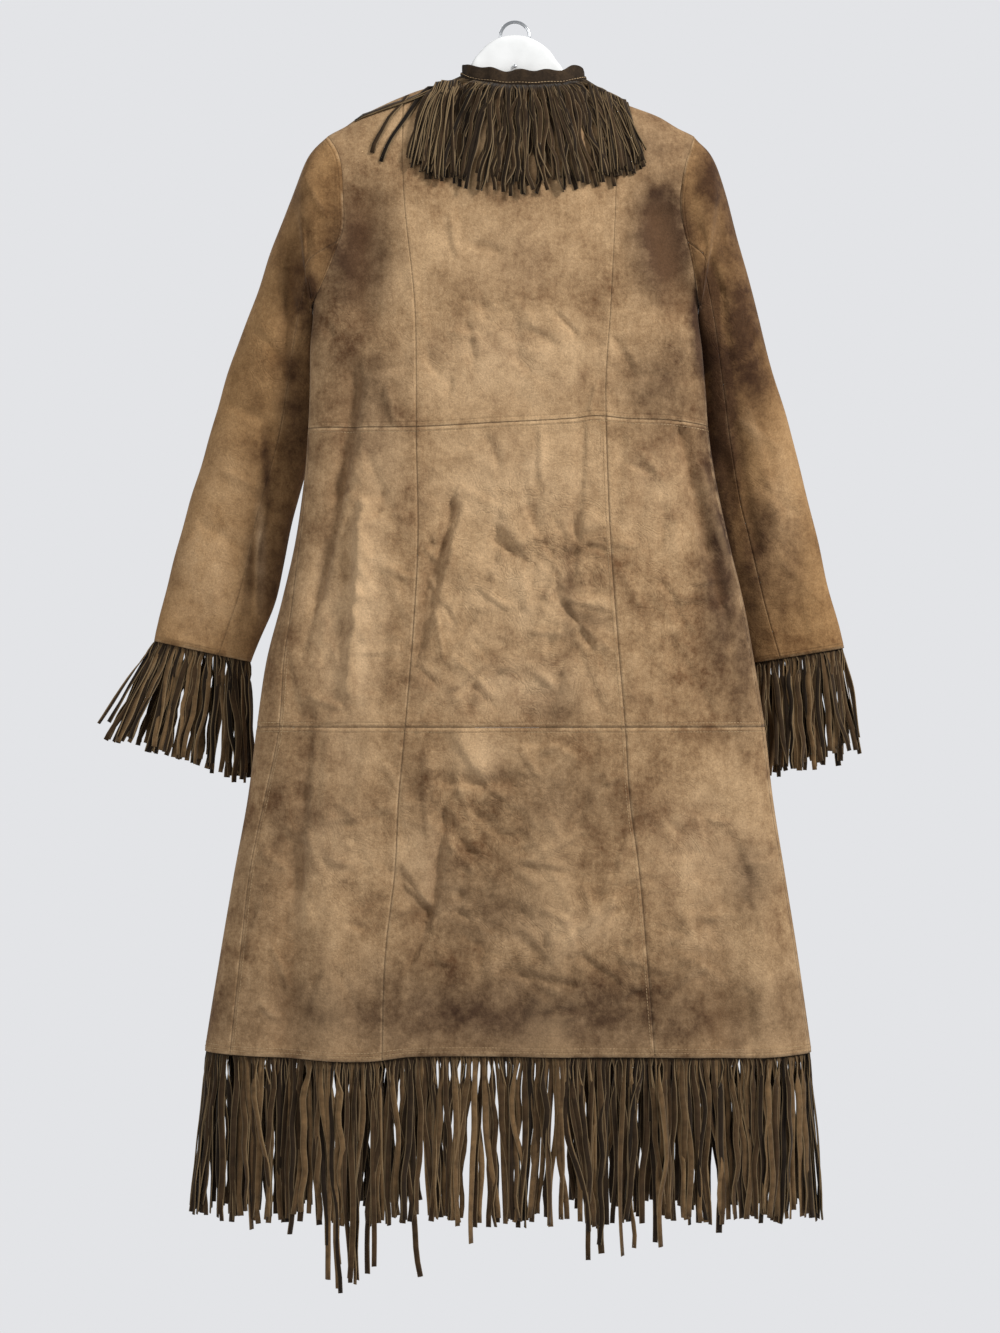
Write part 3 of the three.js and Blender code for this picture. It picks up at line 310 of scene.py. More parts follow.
BACK_CREASES = table(CREASE, """
    -121 -214 -19 -213 7 -0.7 -1
    -67 -538 -77 -585 5 -3.0 1
    -77 -585 -100 -640 6 -3.0 1
    -100 -640 -104 -700 7 -1.2 1
    -58 -545 -84 -640 7 2.4 -1
    -170 -540 -174 -640 8 3.4 -1
    -174 -640 -182 -735 9 2.4 -1
    -183 -558 -184 -600 5 -2.4 1
    -204 -590 -232 -700 8 -2.4 1
    -172 -400 -184 -452 7 -2.4 1
    -184 -452 -194 -530 7 -2.4 1
    186 -462 198 -520 7 -2.4 1
    198 -520 214 -585 8 -2.4 1
    214 -585 240 -690 9 -2.2 1
    200 -500 226 -585 8 2.0 -1
    -60 -520 -10 -548 9 1.6 1
    76 -455 70 -560 9 -2.4 1
    70 -560 64 -618 8 -2.8 1
    54 -650 84 -692 6 -3.4 1
    84 -692 106 -664 6 -3.0 -1
    57 -644 106 -656 7 2.4 -1
    60 -668 96 -690 9 1.8 1
    20 -600 62 -640 9 1.8 1
    50 -730 36 -776 11 -3.0 1
    70 -700 92 -760 10 -1.8 1
    -62 -800 -36 -838 12 3.0 -1
    -46 -850 4 -851 8 -3.0 -1
    -132 -930 -93 -988 6 -3.2 1
    -76 -886 -90 -988 6 -3.2 1
    -93 -988 -112 -1040 6 -2.8 1
    -118 -960 -92 -980 6 2.6 -1
    -88 -985 -52 -950 7 2.2 1
    37 -1037 100 -975 9 3.2 1
    60 -888 92 -841 7 -2.8 1
    20 -930 66 -905 8 2.4 -1
    -30 -1010 10 -985 7 -2.4 1
    -100 -820 -96 -900 9 1.8 -1
    -60 -900 -30 -960 12 -1.8 1
    20 -900 60 -980 12 1.8 -1
    -224 -768 -230 -860 11 -3.2 1
    -230 -860 -240 -960 12 -3.0 1
    -205 -780 -212 -880 12 2.4 -1
    -190 -1055 -173 -1098 7 -2.2 1
    -10 -1053 62 -1069 7 -3.4 -1
    57 -1066 66 -1040 7 -1.6 1
    257 -1077 263 -1143 8 -2.4 1
    240 -905 262 -960 9 -2.2 1
    -228 -320 -205 -345 8 -2.4 1
    -226 -300 -196 -290 8 -2.4 -1
    200 -300 178 -330 8 -2.4 1
    -180 -395 -120 -388 10 -1.4 -1
    110 -395 196 -402 10 -1.6 -1
    -170 -470 -130 -560 11 -2.0 1
    -150 -600 -120 -660 10 2.0 -1
    -140 -690 -150 -760 10 -1.8 1
    150 -500 130 -590 10 -1.8 1
    120 -470 112 -560 9 -2.0 1
    180 -700 215 -760 10 -1.8 1
    -255 -700 -235 -775 10 -2.0 1
    -236 -915 -240 -1020 10 -2.2 1
    -160 -800 -180 -880 11 2.0 -1
    90 -800 70 -890 11 -2.0 1
    140 -960 120 -1040 11 2.0 -1
""")
FRONT_CREASES = table(CREASE, """
    -180 -300 -150 -350 9 -2.2 1
    150 -290 180 -340 9 -2.2 1
    -90 -420 -150 -440 10 -1.8 -1
    80 -430 150 -440 10 -1.8 -1
    -120 -600 -170 -640 11 2.0 1
    120 -620 160 -660 11 -2.0 1
    -80 -820 -130 -900 11 -2.0 1
    90 -800 140 -880 11 2.0 -1
    -200 -960 -230 -1040 11 -2.0 1
    180 -980 210 -1060 11 2.0 -1
""")
SLEEVE_FOLDS = table(FOLD, """
    -236 -241 -261 -367 12 -5
    -278 -527 -295 -656 12 -4
    214 -265 224 -330 10 -4
    236 -488 268 -590 12 -4
""")
SLEEVE_CREASES = table(CREASE, """
    -262 -290 -236 -330 7 -2.4 1
    -300 -330 -262 -372 8 -2.0 1
    -236 -172 -214 -214 6 2.0 -1
    -330 -420 -284 -444 8 -1.8 -1
    -320 -500 -282 -520 8 1.6 1
    -352 -560 -300 -590 8 -1.8 -1
    -253 -262 -258 -440 7 -4.0 -1
    -271 -455 -284 -530 7 -4.5 1
    -284 -530 -302 -620 7 -4.0 1
    -277 -520 -290 -585 5 3.4 -1
    -290 -585 -292 -655 5 3.0 -1
    -234 -280 -226 -310 5 -4.0 1
    -255 -600 -290 -700 9 -2.4 1
    240 -440 268 -580 9 -2.8 -1
    262 -430 300 -560 11 2.2 1
    228 -215 236 -262 8 -2.6 1
    -340 -640 -330 -690 8 1.5 -1
    204 -232 232 -300 6 -2.4 1
    232 -300 242 -380 6 -2.2 1
    262 -340 292 -400 8 -1.8 1
    250 -440 296 -470 8 1.8 1
    280 -520 318 -548 8 -1.8 -1
    300 -600 340 -640 8 1.6 -1
    320 -640 330 -690 8 -1.5 1
""")
CRUMPLES = table("x z wide tall many", """
    20 -600 120 120 90
    10 -730 120 80 44
    -40 -880 130 90 60
    60 -1010 180 110 60
    -220 -1000 90 120 34
    200 -980 90 120 34
    -160 -640 60 140 34
    170 -620 60 140 34
    0 -360 170 80 26
""")


def strewn_creases(seed):
    """Short creases round the crumpled places: normal spread, lengths 10 to 44 mm, any lean."""
    random = np.random.default_rng(seed)
    rows = []
    for x, z, wide, tall, many in zip(*CRUMPLES.values()):
        for _ in range(int(many)):
            middle = np.array([random.normal(x, wide * 0.5), random.normal(z, tall * 0.5)])
            lean, half = random.uniform(0, np.pi), random.uniform(5, 22)
            ends = half * np.array([np.cos(lean), np.sin(lean)])
            rise, crisp = random.uniform(0.8, 2.8) * random.choice([-1, 1]), random.choice([-1, 1])
            rows.append([*(middle - ends), *(middle + ends), random.uniform(4.5, 10), rise, crisp])
    return table(CREASE, rows)


BACK_CRUMPLES = strewn_creases(11)
print("folds:", sum(len(folds["rise"]) for folds in (BACK_FOLDS, FRONT_FOLDS, SLEEVE_FOLDS)))
print("creases by hand and strewn:", len(BACK_CREASES["rise"]), len(BACK_CRUMPLES["rise"]))


# %% [markdown]
# ## The height of a fold
# Pressed suede folds like paper, steep on one side and soft on the other, so
# a crease has a crisp side where its bell is drawn in. On top of them the
# hide itself is never quite flat.

# %% Fold heights
CRISP_SIDE = 0.42
SWELL = 0.28  # height of each slow wave


def fold_rise(folds, x, z):
    """Sum of bells: rise times exp of minus the squared distance to the line over the width,
    the width cut to CRISP_SIDE of itself on the crisp side, where suede was pressed in a fold."""
    total = np.zeros_like(x)
    crisps = folds.get("crisp", np.zeros(len(folds["rise"])))
    columns = [folds[key] for key in FOLD.split()]
    for x0, z0, x1, z1, width, rise, crisp in zip(*columns, crisps):
        dx, dz = x1 - x0, z1 - z0
        near = np.clip(((x - x0) * dx + (z - z0) * dz) / (dx * dx + dz * dz), 0, 1)
        away2 = (x - x0 - near * dx) ** 2 + (z - z0 - near * dz) ** 2
        steep = crisp * (dx * (z - z0) - dz * (x - x0)) > 0
        total += rise * np.exp(-away2 / (width * np.where(steep, CRISP_SIDE, 1.0)) ** 2)
    return total


WAVES = table("length lean phase", "90 0.3 0  130 1.9 1.1  70 1.1 2  190 2.6 0.4  110 0.8 3.1  80 2.2 5")


def swell(x, z):
    """Slow unevenness of the hide: six crossed waves 70 to 190 mm long, 0.28 mm high each."""
    total = np.zeros_like(x)
    for length, lean, phase in zip(*WAVES.values()):
        along = x * np.cos(lean) + z * np.sin(lean)
        total += SWELL * np.sin(2 * np.pi * along / length + phase)
    return total


def body_surface(turn, level, off=0.0, fine=0.0):
    """Body ring moved out along its normal by the folds, and by the creases times fine. Gives
    the points and how far they rose."""
    turn, level = np.broadcast_arrays(np.asarray(turn, float), np.asarray(level, float))
    points, normal = body_base(turn, level), body_normal(turn, level)
    x, z = points[..., 0], points[..., 2]
    front = np.cos(np.pi * turn) < 0
    facing = normal[..., 1] ** 2
    big = np.where(front, fold_rise(FRONT_FOLDS, x, z), fold_rise(BACK_FOLDS, x, z))
    small = np.zeros_like(x)
    if np.any(fine):
        on_back = fold_rise(BACK_CREASES, x, z) + fold_rise(BACK_CRUMPLES, x, z)
        small = np.where(front, fold_rise(FRONT_CREASES, x, z), on_back) + swell(x, z)
    rise = (big + small * fine) * facing
    return points + normal * (rise + off)[..., None], rise


# %% [markdown]
# ## Sleeves
# Each sleeve is a bent tube that hangs a little in front of the body. Its
# first ring is the armhole seam itself, the other rings come from a table,
# and a smooth curve joins them, so the sleeve grows out of the shoulder.

# %% Sleeve surface
RING = "outer_x outer_z inner_x inner_z forward depth"
SLEEVES = {
    "left": table(RING, """
    -233 -152 -227 -324 3 34
    -253 -199 -224.3 -336 15 34
    -286 -285 -224.5 -366 25 32
    -316 -366 -223 -411 33 31
    -338 -432 -228.5 -468 39 30
    -355 -491 -244 -526 43 29
    -368.5 -535 -255 -568 45 27
    -390.5 -612 -270 -639 46 24
    -409 -689 -299 -713 46 20
"""),
    "right": table(RING, """
    221 -148 206.5 -322 3 34
    237 -190 203.8 -334 15 34
    266 -293 204 -364 25 32
    291.5 -384 206 -419 33 31
    310 -443 209 -476 39 30
    327 -510 217 -540 43 29
    338 -551 228 -584 45 27
    357.5 -630 246 -658 46 24
    374 -697 264 -715 46 20
"""),
}
SLEEVE_SQUARENESS = 2.3
SLEEVE_LAST = 9
SLEEVE_SEAM = 0.3  # place of the two sleeve seams, back and front


def sleeve_rings(side, place):
    """Ten rings at these places: the armhole, then ovals from outer to inner edge."""
    place = np.asarray(place, float)
    fall = (1 - np.cos(2 * np.pi * place)) / 2
    level = NECK + (ARMPIT - NECK) * fall
    turn = np.where(place < 0, armhole_turn(side, level, True), armhole_turn(side, level, False))
    first, _ = body_surface(turn, level)
    outer = soft_power(np.cos(2 * np.pi * place), 2 / SLEEVE_SQUARENESS)
    rear = soft_power(np.sin(2 * np.pi * place), 2 / SLEEVE_SQUARENESS)
    rings = [first]
    for ox, oz, ix, iz, forward, depth in zip(*SLEEVES[side].values()):
        x = (ox + ix) / 2 + (ox - ix) / 2 * outer
        z = (oz + iz) / 2 + (oz - iz) / 2 * outer
        rings.append(np.stack([x, forward - depth * rear, z], axis=-1))
    return np.stack(rings)


def sleeve_base(side, place, along):
    """Cubic from ring to ring for every along (rows) and place (columns)."""
    rings = sleeve_rings(side, place)
    along = np.asarray(along, float)
    k = np.clip(np.floor(along).astype(int), 0, SLEEVE_LAST - 1)
    slopes = np.gradient(rings, axis=0)
    return cubic(rings[k], slopes[k], rings[k + 1], slopes[k + 1], (along - k)[:, None, None])


def sleeve_surface(side, place, along, off=0.0, fine=0.0):
    """Sleeve tube moved out along its normal by its folds and creases."""
    points = sleeve_base(side, place, along)
    inner = np.clip(along, 0.02, SLEEVE_LAST - 0.02)
    around = sleeve_base(side, place + 0.004, inner) - sleeve_base(side, place - 0.004, inner)
    down = sleeve_base(side, place, inner + 0.02) - sleeve_base(side, place, inner - 0.02)
    normal = unit(np.cross(around, down)) * (-1 if side == "left" else 1)
    facing = np.maximum(0, -normal[..., 1]) ** 2
    x, z = points[..., 0], points[..., 2]
    small = fold_rise(SLEEVE_CREASES, x, z) * facing + swell(x, z) if np.any(fine) else 0.0
    rise = fold_rise(SLEEVE_FOLDS, x, z) * facing + small * fine
    return points + normal * (rise + off)[..., None], rise


print("rings in each sleeve's table:", {side: len(rings["depth"]) for side, rings in SLEEVES.items()})


# %% [markdown]
# ## Meshes
# A sheet of suede has two faces and a cut edge. `sheet_mesh` takes the outer
# and the inner grid of points, joins them round the rim, and keeps the rim
# faces flat shaded so that the cut stays crisp.

# %% Mesh helpers
def write_marks(mesh, marks):
    """Point attributes from arrays of numbers."""
    for key, values in marks.items():
        mark = mesh.attributes.new(key, "FLOAT", "POINT")
        mark.data.foreach_set("value", np.ascontiguousarray(values, np.float32).ravel())


def points_of(mesh):
    """Points of a mesh in millimetres."""
    points = np.empty(len(mesh.vertices) * 3)
    mesh.vertices.foreach_get("co", points)
    return points.reshape(-1, 3) / MM


def new_piece(name, points, quads, marks, flat):
    """One object from points in millimetres and four-sided faces, with point attributes."""
    mesh = bpy.data.meshes.new(name)
    points, quads = np.ascontiguousarray(points, float), np.ascontiguousarray(quads, np.int32)
    mesh.vertices.add(len(points))
    mesh.vertices.foreach_set("co", (points * MM).ravel())
    mesh.loops.add(quads.size)
    mesh.loops.foreach_set("vertex_index", quads.ravel())
    mesh.polygons.add(len(quads))
    mesh.polygons.foreach_set("loop_start", np.arange(0, quads.size, 4, dtype=np.int32))
    mesh.polygons.foreach_set("use_smooth", ~flat)
    mesh.update(calc_edges=True)
    write_marks(mesh, marks)
    piece = bpy.data.objects.new(name, mesh)
    bpy.context.collection.objects.link(piece)
    return piece


def outward(points, quads):
    """Faces turned to look outward, so that the volume inside them comes out above nothing."""
    a, b, c, d = (points[quads[:, i]] for i in range(4))
    one = np.einsum("ij,ij->i", a, np.cross(b, c))
    two = np.einsum("ij,ij->i", a, np.cross(c, d))
    return quads[:, ::-1] if (one + two).sum() < 0 else quads


def sheet_mesh(name, outer, inner, marks):
    """Closed sheet between two grids with the same rows and columns."""
    rows, columns = outer.shape[:2]
    at = np.arange(rows * columns).reshape(rows, columns)
    shift = rows * columns
    face = np.stack([at[:-1, :-1], at[1:, :-1], at[1:, 1:], at[:-1, 1:]], axis=-1).reshape(-1, 4)
    rim = np.concatenate([at[0, :], at[1:, -1], at[-1, -2::-1], at[-2:0:-1, 0]])
    ahead = np.roll(rim, -1)
    wall = np.stack([rim, ahead, ahead + shift, rim + shift], axis=-1)
    points = np.concatenate([outer.reshape(-1, 3), inner.reshape(-1, 3)])
    quads = outward(points, np.concatenate([face, face[:, ::-1] + shift, wall]))
    flat = np.arange(len(quads)) >= 2 * len(face)
    both = {key: np.concatenate([value.ravel(), value.ravel()]) for key, value in marks.items()}
    both["inside"] = np.repeat([0.0, 1.0], shift)
    return new_piece(name, points, quads, both, flat)


def pull_rim(grid, amount):
    """Moves the outer rows and columns inward by a distance."""
    for axis in (0, 1):
        moved = np.moveaxis(grid, axis, 0)
        for end, nearby in ((0, 1), (-1, -2)):
            moved[end] += unit(moved[nearby] - moved[end]) * amount
    return grid


def lengths_along(grid, axis):
    """Running length along the rows or the columns of a grid."""
    steps = np.linalg.norm(np.diff(grid, axis=axis), axis=-1)
    pad = [(0, 0), (0, 0)]
    pad[axis] = (1, 0)
    return np.pad(np.cumsum(steps, axis=axis), pad)


def run_along(line):
    """Length run from the first point of a line to each of its points."""
    return np.concatenate([[0], np.cumsum(np.linalg.norm(np.diff(line, axis=0), axis=1))])


def spread_evenly(count, line, places, clear=0.0):
    """Places that part a line evenly by its length, clear of both ends by a distance."""
    run = run_along(line)
    wanted = clear + (np.arange(count) + 0.5) / count * (run[-1] - 2 * clear)
    return np.interp(wanted, run, places)


def rim_distance(grid):
    """Distance in millimetres from the four edges: start and end of rows, then of columns."""
    down, over = lengths_along(grid, 0), lengths_along(grid, 1)
    return down, down[-1:] - down, over, over[:, -1:] - over


# %% [markdown]
# ## Panels
# Every panel is cut to its seams with a tiny parting, and its edge rolls down
# by a third of a millimetre, as pressed suede does along a topstitched seam,
# and by a quarter of that on the upper back and the sleeves. Small creases
# fade out at the seams, where the double layer is stiff.

# %% Cutting the panels
SEAM_PART = 0.04
ROLL, ROLL_WIDTH = 0.32, 2.0
SOFT_ROLL, SOFT_BOLD = 0.25, 0.15  # shares of the roll and of the worn edge on the soft panels
CREASE_FADE, CREASE_POWER = 9.0, 0.7


def crowded(count):
    """Shares from 0 to 1 with two extra close to each end, so that an edge can roll."""
    inner = np.linspace(0, 1, count + 1)[1:-1]
    inner = inner[(inner > 0.04) & (inner < 0.96)]
    return np.concatenate([[0, 0.012, 0.035], inner, [0.965, 0.988, 1]])


def suede_panel(name, surface):
    """Sheet from a surface function of the offset and the strength of the small creases."""
    rough, _ = surface(0.0, 0.0)
    from_top, from_foot, from_start, from_end = rim_distance(rough)
    level_seam, long_seam = np.minimum(from_top, from_foot), np.minimum(from_start, from_end)
    nearest = np.minimum(level_seam, long_seam)
    fine = np.clip(nearest / CREASE_FADE, 0, 1) ** CREASE_POWER
    upper_back = name.startswith("suede_back") and name.endswith("upper")
    soft = upper_back or name.startswith("suede_sleeve")
    roll = -ROLL * (SOFT_ROLL if soft else 1.0) * np.exp(-((nearest / ROLL_WIDTH) ** 2))
    outer, rise = surface(roll, fine)
    inner, _ = surface(roll - WALL, fine)
    pull_rim(outer, SEAM_PART)
    pull_rim(inner, SEAM_PART)
    marks = {"crest": rise, "level_seam": level_seam, "long_seam": long_seam, "seam": nearest}
    marks["bold"] = np.where(soft & (long_seam < level_seam), SOFT_BOLD, 1.0)
    piece = sheet_mesh(name, outer, inner, marks)
    return piece, (from_end.max() * MM, from_foot.max() * MM)


def armhole_levels(count):
    """Rows that crowd at the shoulder and at the armpit."""
    fall = (1 - np.cos(np.pi * np.arange(count + 1) / count)) / 2
    return NECK + (ARMPIT - NECK) * fall


def rows_between(top, foot, step):
    """Rows about a step apart, with extra rows close to both ends."""
    return top + (foot - top) * crowded(int(round(abs(foot - top) / step)))


TIERS = {
    "upper": np.concatenate([armhole_levels(84), ARMPIT + (WAIST - ARMPIT) * crowded(42)[3:]]),
    "middle": rows_between(WAIST, KNEE, 2.7),
    "lower": rows_between(KNEE, HEM, 2.7),
}
STRIPS = {
    "back_left": (52, lambda v: side_turn("left", v, False), lambda v: princess_turn("left", v)),
    "back_centre": (96, lambda v: princess_turn("left", v), lambda v: princess_turn("right", v)),
    "back_right": (52, lambda v: princess_turn("right", v), lambda v: side_turn("right", v, False)),
    "front_left": (60, lambda v: side_turn("left", v, True), lambda v: front_turn("left", v)),
    "front_right": (60, lambda v: side_turn("right", v, True), lambda v: front_turn("right", v)),
}
suede_pieces = {}
for strip_name, (columns, begin, end) in STRIPS.items():
    for tier, levels in TIERS.items():
        shares = crowded(columns)[None, :]
        first, final = begin(levels)[:, None], end(levels)[:, None]
        turns = first + (final - first) * shares
        panel = f"{strip_name}_{tier}"
        suede_pieces[panel] = suede_panel(
            "suede_" + panel,
            lambda off, fine, turns=turns, levels=levels: body_surface(turns, levels[:, None], off, fine),
        )
for side in ("left", "right"):
    spans = {"upper": (-SLEEVE_SEAM, SLEEVE_SEAM, 76), "under": (SLEEVE_SEAM, 1 - SLEEVE_SEAM, 52)}
    for half_name, (start, stop, columns) in spans.items():
        places = start + (stop - start) * crowded(columns)
        places = np.where(places > 0.5, places - 1, places)
        alongs = SLEEVE_LAST * crowded(160)
        panel = f"sleeve_{side}_{half_name}"
        suede_pieces[panel] = suede_panel(
            "suede_" + panel,
            lambda off, fine, s=side, p=places, a=alongs: sleeve_surface(s, p, a, off, fine),
        )
panel_faces = sum(len(piece.data.polygons) for piece, _ in suede_pieces.values())
print("suede panels:", len(suede_pieces), "faces:", panel_faces)


# %% [markdown]
# ## Collar
# A narrow dark band stands round the neck, folded over at its top, so its
# edge is a round lip. Its profile is a thin oval carried along the neck edge,
# with the gentle waves that a soft band falls into.

# %% Collar band
COLLAR_END, COLLAR_TALL, COLLAR_THICK = 2.9, 19.0, 2.4


def neck_line(angle):
    """Neck edge at an angle from the centre back, and the outward direction in plan."""
    x = NECK_MIDDLE + NECK_HALF * np.sin(angle)
    front = np.cos(angle) < 0
    edge = np.stack([x, neck_depth(x, front), top_edge(x, front)], axis=-1)
    out = np.stack([np.sin(angle), -np.cos(angle), np.zeros_like(angle)], axis=-1)
    return edge, out


def collar_ring(angle, height, off):
    """Neck edge raised by height and moved outward by off, its top in soft waves."""
    edge, out = neck_line(angle)
    share = height / COLLAR_TALL
    wave = 1.5 * np.cos(2 * np.pi * (edge[..., 0] + 57) / 31) + 0.8 * np.sin(angle * 7 + 1)
    slack = 1.2 * np.clip((np.abs(angle) - 1.7) / 0.5, 0, 1)
    lean = 0.9 * share * np.sin(angle * 11 + 0.6)
    up = np.zeros_like(edge)
    up[..., 2] = 0.4 + slack + height + wave * share
    return edge + out * (off + lean)[..., None] + up


collar_angles = np.linspace(-COLLAR_END, COLLAR_END, 241)[:, None]
round_places = np.linspace(0, 2 * np.pi, 33)[None, :-1]
profile_height = COLLAR_TALL * (0.5 + 0.5 * soft_power(np.sin(round_places), 0.7))
profile_off = -1.7 + COLLAR_THICK / 2 * soft_power(np.cos(round_places), 0.5)
heights, angles = np.broadcast_arrays(profile_height, collar_angles)
collar_grid = collar_ring(angles, heights, np.broadcast_to(profile_off, angles.shape))


def tube_mesh(name, grid, marks):
    """Closed tube from rings (rows) of the same number of points, capped at both ends."""
    rings, corners = grid.shape[:2]
    at = np.arange(rings * corners).reshape(rings, corners)
    over = np.roll(at, -1, axis=1)
    side_faces = np.stack([at[:-1], at[1:], over[1:], over[:-1]], axis=-1).reshape(-1, 4)
    half = corners // 2
    cap = np.array([[i, i + 1, corners - 2 - i, corners - 1 - i] for i in range(half - 1)])
    points = grid.reshape(-1, 3)
    quads = outward(points, np.concatenate([side_faces, cap, cap[:, ::-1] + (rings - 1) * corners]))
    return new_piece(name, points, quads, marks, np.arange(len(quads)) >= len(side_faces))


far = np.full(heights.size, 40.0)
collar_marks = {"level_seam": far, "long_seam": far, "seam": far}
collar = tube_mesh("suede_collar", collar_grid, collar_marks)
print("collar band faces:", len(collar.data.polygons))


# %% [markdown]
# ## Fringe
# Fringe is cut from a strip of the same hide with a blade, so the strands lie
# side by side at the root, then shrink, twist and stray. All strands of one
# fringe are worked out at once: a root, a fall, a sideways sway of three
# waves and a twist that grows towards the tip.

# %% Strands
STRAND_POINTS = 16
CUT_HIDE = 1.1  # thickness of a strand
HEM_DROP = 178  # length of the hem's strands


def strand_paths(roots, falls, outs, random, sway, bow=0.0):
    """Centre lines: root + fall, with a sideways sway of three waves that grows with t, a
    smaller one in depth, and a bow that spends the sideways part of the fall early."""
    count = len(roots)
    t = np.linspace(0, 1, STRAND_POINTS)[None, :, None]
    side = unit(np.cross(falls, outs))[:, None, :]
    out = unit(outs)[:, None, :]
    path = np.concatenate(np.broadcast_arrays(t ** (1 - bow), t, t ** (1 + bow)), axis=-1)
    path = roots[:, None, :] + falls[:, None, :] * path
    for way, share, turns in ((side, 0.9, 3.4), (side, 0.5, 8.5), (side, 0.24, 19), (out, 0.45, 4.5)):
        phase = random.uniform(0, 2 * np.pi, (count, 1, 1))
        size = random.normal(0, sway * share, (count, 1, 1))
        path = path + way * size * (np.sin(phase + turns * t) - np.sin(phase))
    return path


def strands_mesh(name, path, outs, widths, random, strip, tones=(0.0, 1.0)):
    """Strands on their centre lines. The section is a thin strip curled like a gutter, drawn
    in to a cord below the root, and turned about the line by a twist that grows to the tip."""
    count = len(path)
    t = np.linspace(0, 1, STRAND_POINTS)[None, :, None]
    heading = unit(np.gradient(path, axis=1))
    flat_way = unit(np.cross(heading, np.broadcast_to(outs[:, None, :], path.shape)))
    through = np.cross(heading, flat_way)
    phase = random.uniform(0, 2 * np.pi, (count, 1, 1))
    neck = np.exp(-(((t - 0.09) / 0.07) ** 2))
    twist = random.normal(0, 0.5, (count, 1, 1)) * t + random.normal(0, 1.0, (count, 1, 1)) * neck
    twist = twist + 0.3 * np.sin(phase + 5 * t) * np.clip(t * 5, 0, 1)
    broad = flat_way * np.cos(twist) + through * np.sin(twist)
    thin = np.cross(heading, broad)
    half_wide = widths[:, None, None] / 2 * (1 - 0.38 * neck - 0.12 * t)
    curl = random.uniform(-1.3, 0.9, (count, 1, 1)) * np.clip(t * 6, 0, 1)
    places = [(1, 1, 0), (0, 1, 1), (-1, 1, 0), (-1, -1, 0), (0, -1, 1), (1, -1, 0)]
    section = [
        path + broad * half_wide * a + thin * (CUT_HIDE / 2 * b + curl * (c - 0.5))
        for a, b, c in places
    ]
    corners = len(places)
    at = np.arange(count * STRAND_POINTS * corners).reshape(count, STRAND_POINTS, corners)
    over = np.roll(at, -1, axis=2)
    sides = np.stack([at[:, :-1], over[:, :-1], over[:, 1:], at[:, 1:]], axis=-1).reshape(-1, 4)
    start, stop = at[:, 0], at[:, -1]
    caps = [start[:, [3, 2, 1, 4]], start[:, [5, 4, 1, 0]]]
    caps += [stop[:, [4, 1, 2, 3]], stop[:, [0, 1, 4, 5]]]
    points = np.stack(section, axis=2).reshape(-1, 3)
    quads = outward(points, np.concatenate([sides, *caps]))
    flat = np.arange(len(quads)) >= len(sides)
    shape = (count, STRAND_POINTS, corners)
    marks = {
        "tone": np.broadcast_to(random.uniform(*tones, (count, 1, 1)), shape).ravel(),
        "across": np.broadcast_to(np.array([float(a) for a, _, _ in places]), shape).ravel(),
        "down": np.broadcast_to(t, shape).ravel(),
    }
    strip_points, strip_quads = strip
    quads = np.concatenate([quads, strip_quads + len(points)])
    flat = np.concatenate([flat, np.ones(len(strip_quads), bool)])
    points = np.concatenate([points, strip_points])
    marks = {key: np.concatenate([value, np.zeros(len(strip_points))]) for key, value in marks.items()}
    return new_piece(name, points, quads, marks, flat)


def in_layers(path, outs, layer):
    """Centre lines moved by layer along outs, from nothing at the root to all a quarter down."""
    fade = np.clip(np.linspace(0, 1, STRAND_POINTS) * 4, 0, 1)
    return path + outs[:, None, :] * (layer[:, None] * fade)[..., None]


def strip_of(outer, inner):
    """Points and faces of a closed strip between two grids."""
    piece = sheet_mesh("strip", outer, inner, {})
    points = points_of(piece.data)
    quads = np.empty(len(piece.data.loops), np.int32)
    piece.data.loops.foreach_get("vertex_index", quads)
    bpy.data.objects.remove(piece)
    return points, quads.reshape(-1, 4)


# Strands cut longer than the rest: where they grow, how low they end and at what x.
LONG_STRANDS = table("x tip end", """
    -242 -1343 -246   -220 -1352 -205   -213 -1374 -200   -206 -1390 -206   -199 -1405 -191
    -193 -1400 -195   -187 -1394 -182   -181 -1388 -177   -175 -1392 -170   -168 -1396 -176
    -161 -1385 -165   -154 -1376 -156   -141 -1388 -110   -46 -1350 -46   84 -1369 88   90 -1362 93
    97 -1352 89   121 -1364 124   128 -1356 127   150 -1350 157   158 -1354 160   228 -1342 226
""")
# Where strands gather (below nothing) or part (above), as they were combed by wear.
LEANS = table("x wide amount", """
    -182 26 -8   -106 15 17   -70 20 -7   -44 13 13   46 15 16   86 20 -9   124 18 -7   180 30 3
    -262 26 4   258 26 -5   0 22 -7   -322 26 10   -330 12 6   312 24 10   214 14 7   -222 14 6
""")


def lean_at(x):
    """Sideways way of a tip: amount times the offset over the width, fading like a bell."""
    total = np.zeros_like(x)
    for middle, wide, amount in zip(*LEANS.values()):
        share = (x - middle) / wide
        total += amount * 1.6 * share * np.exp(-share * share)
    return total


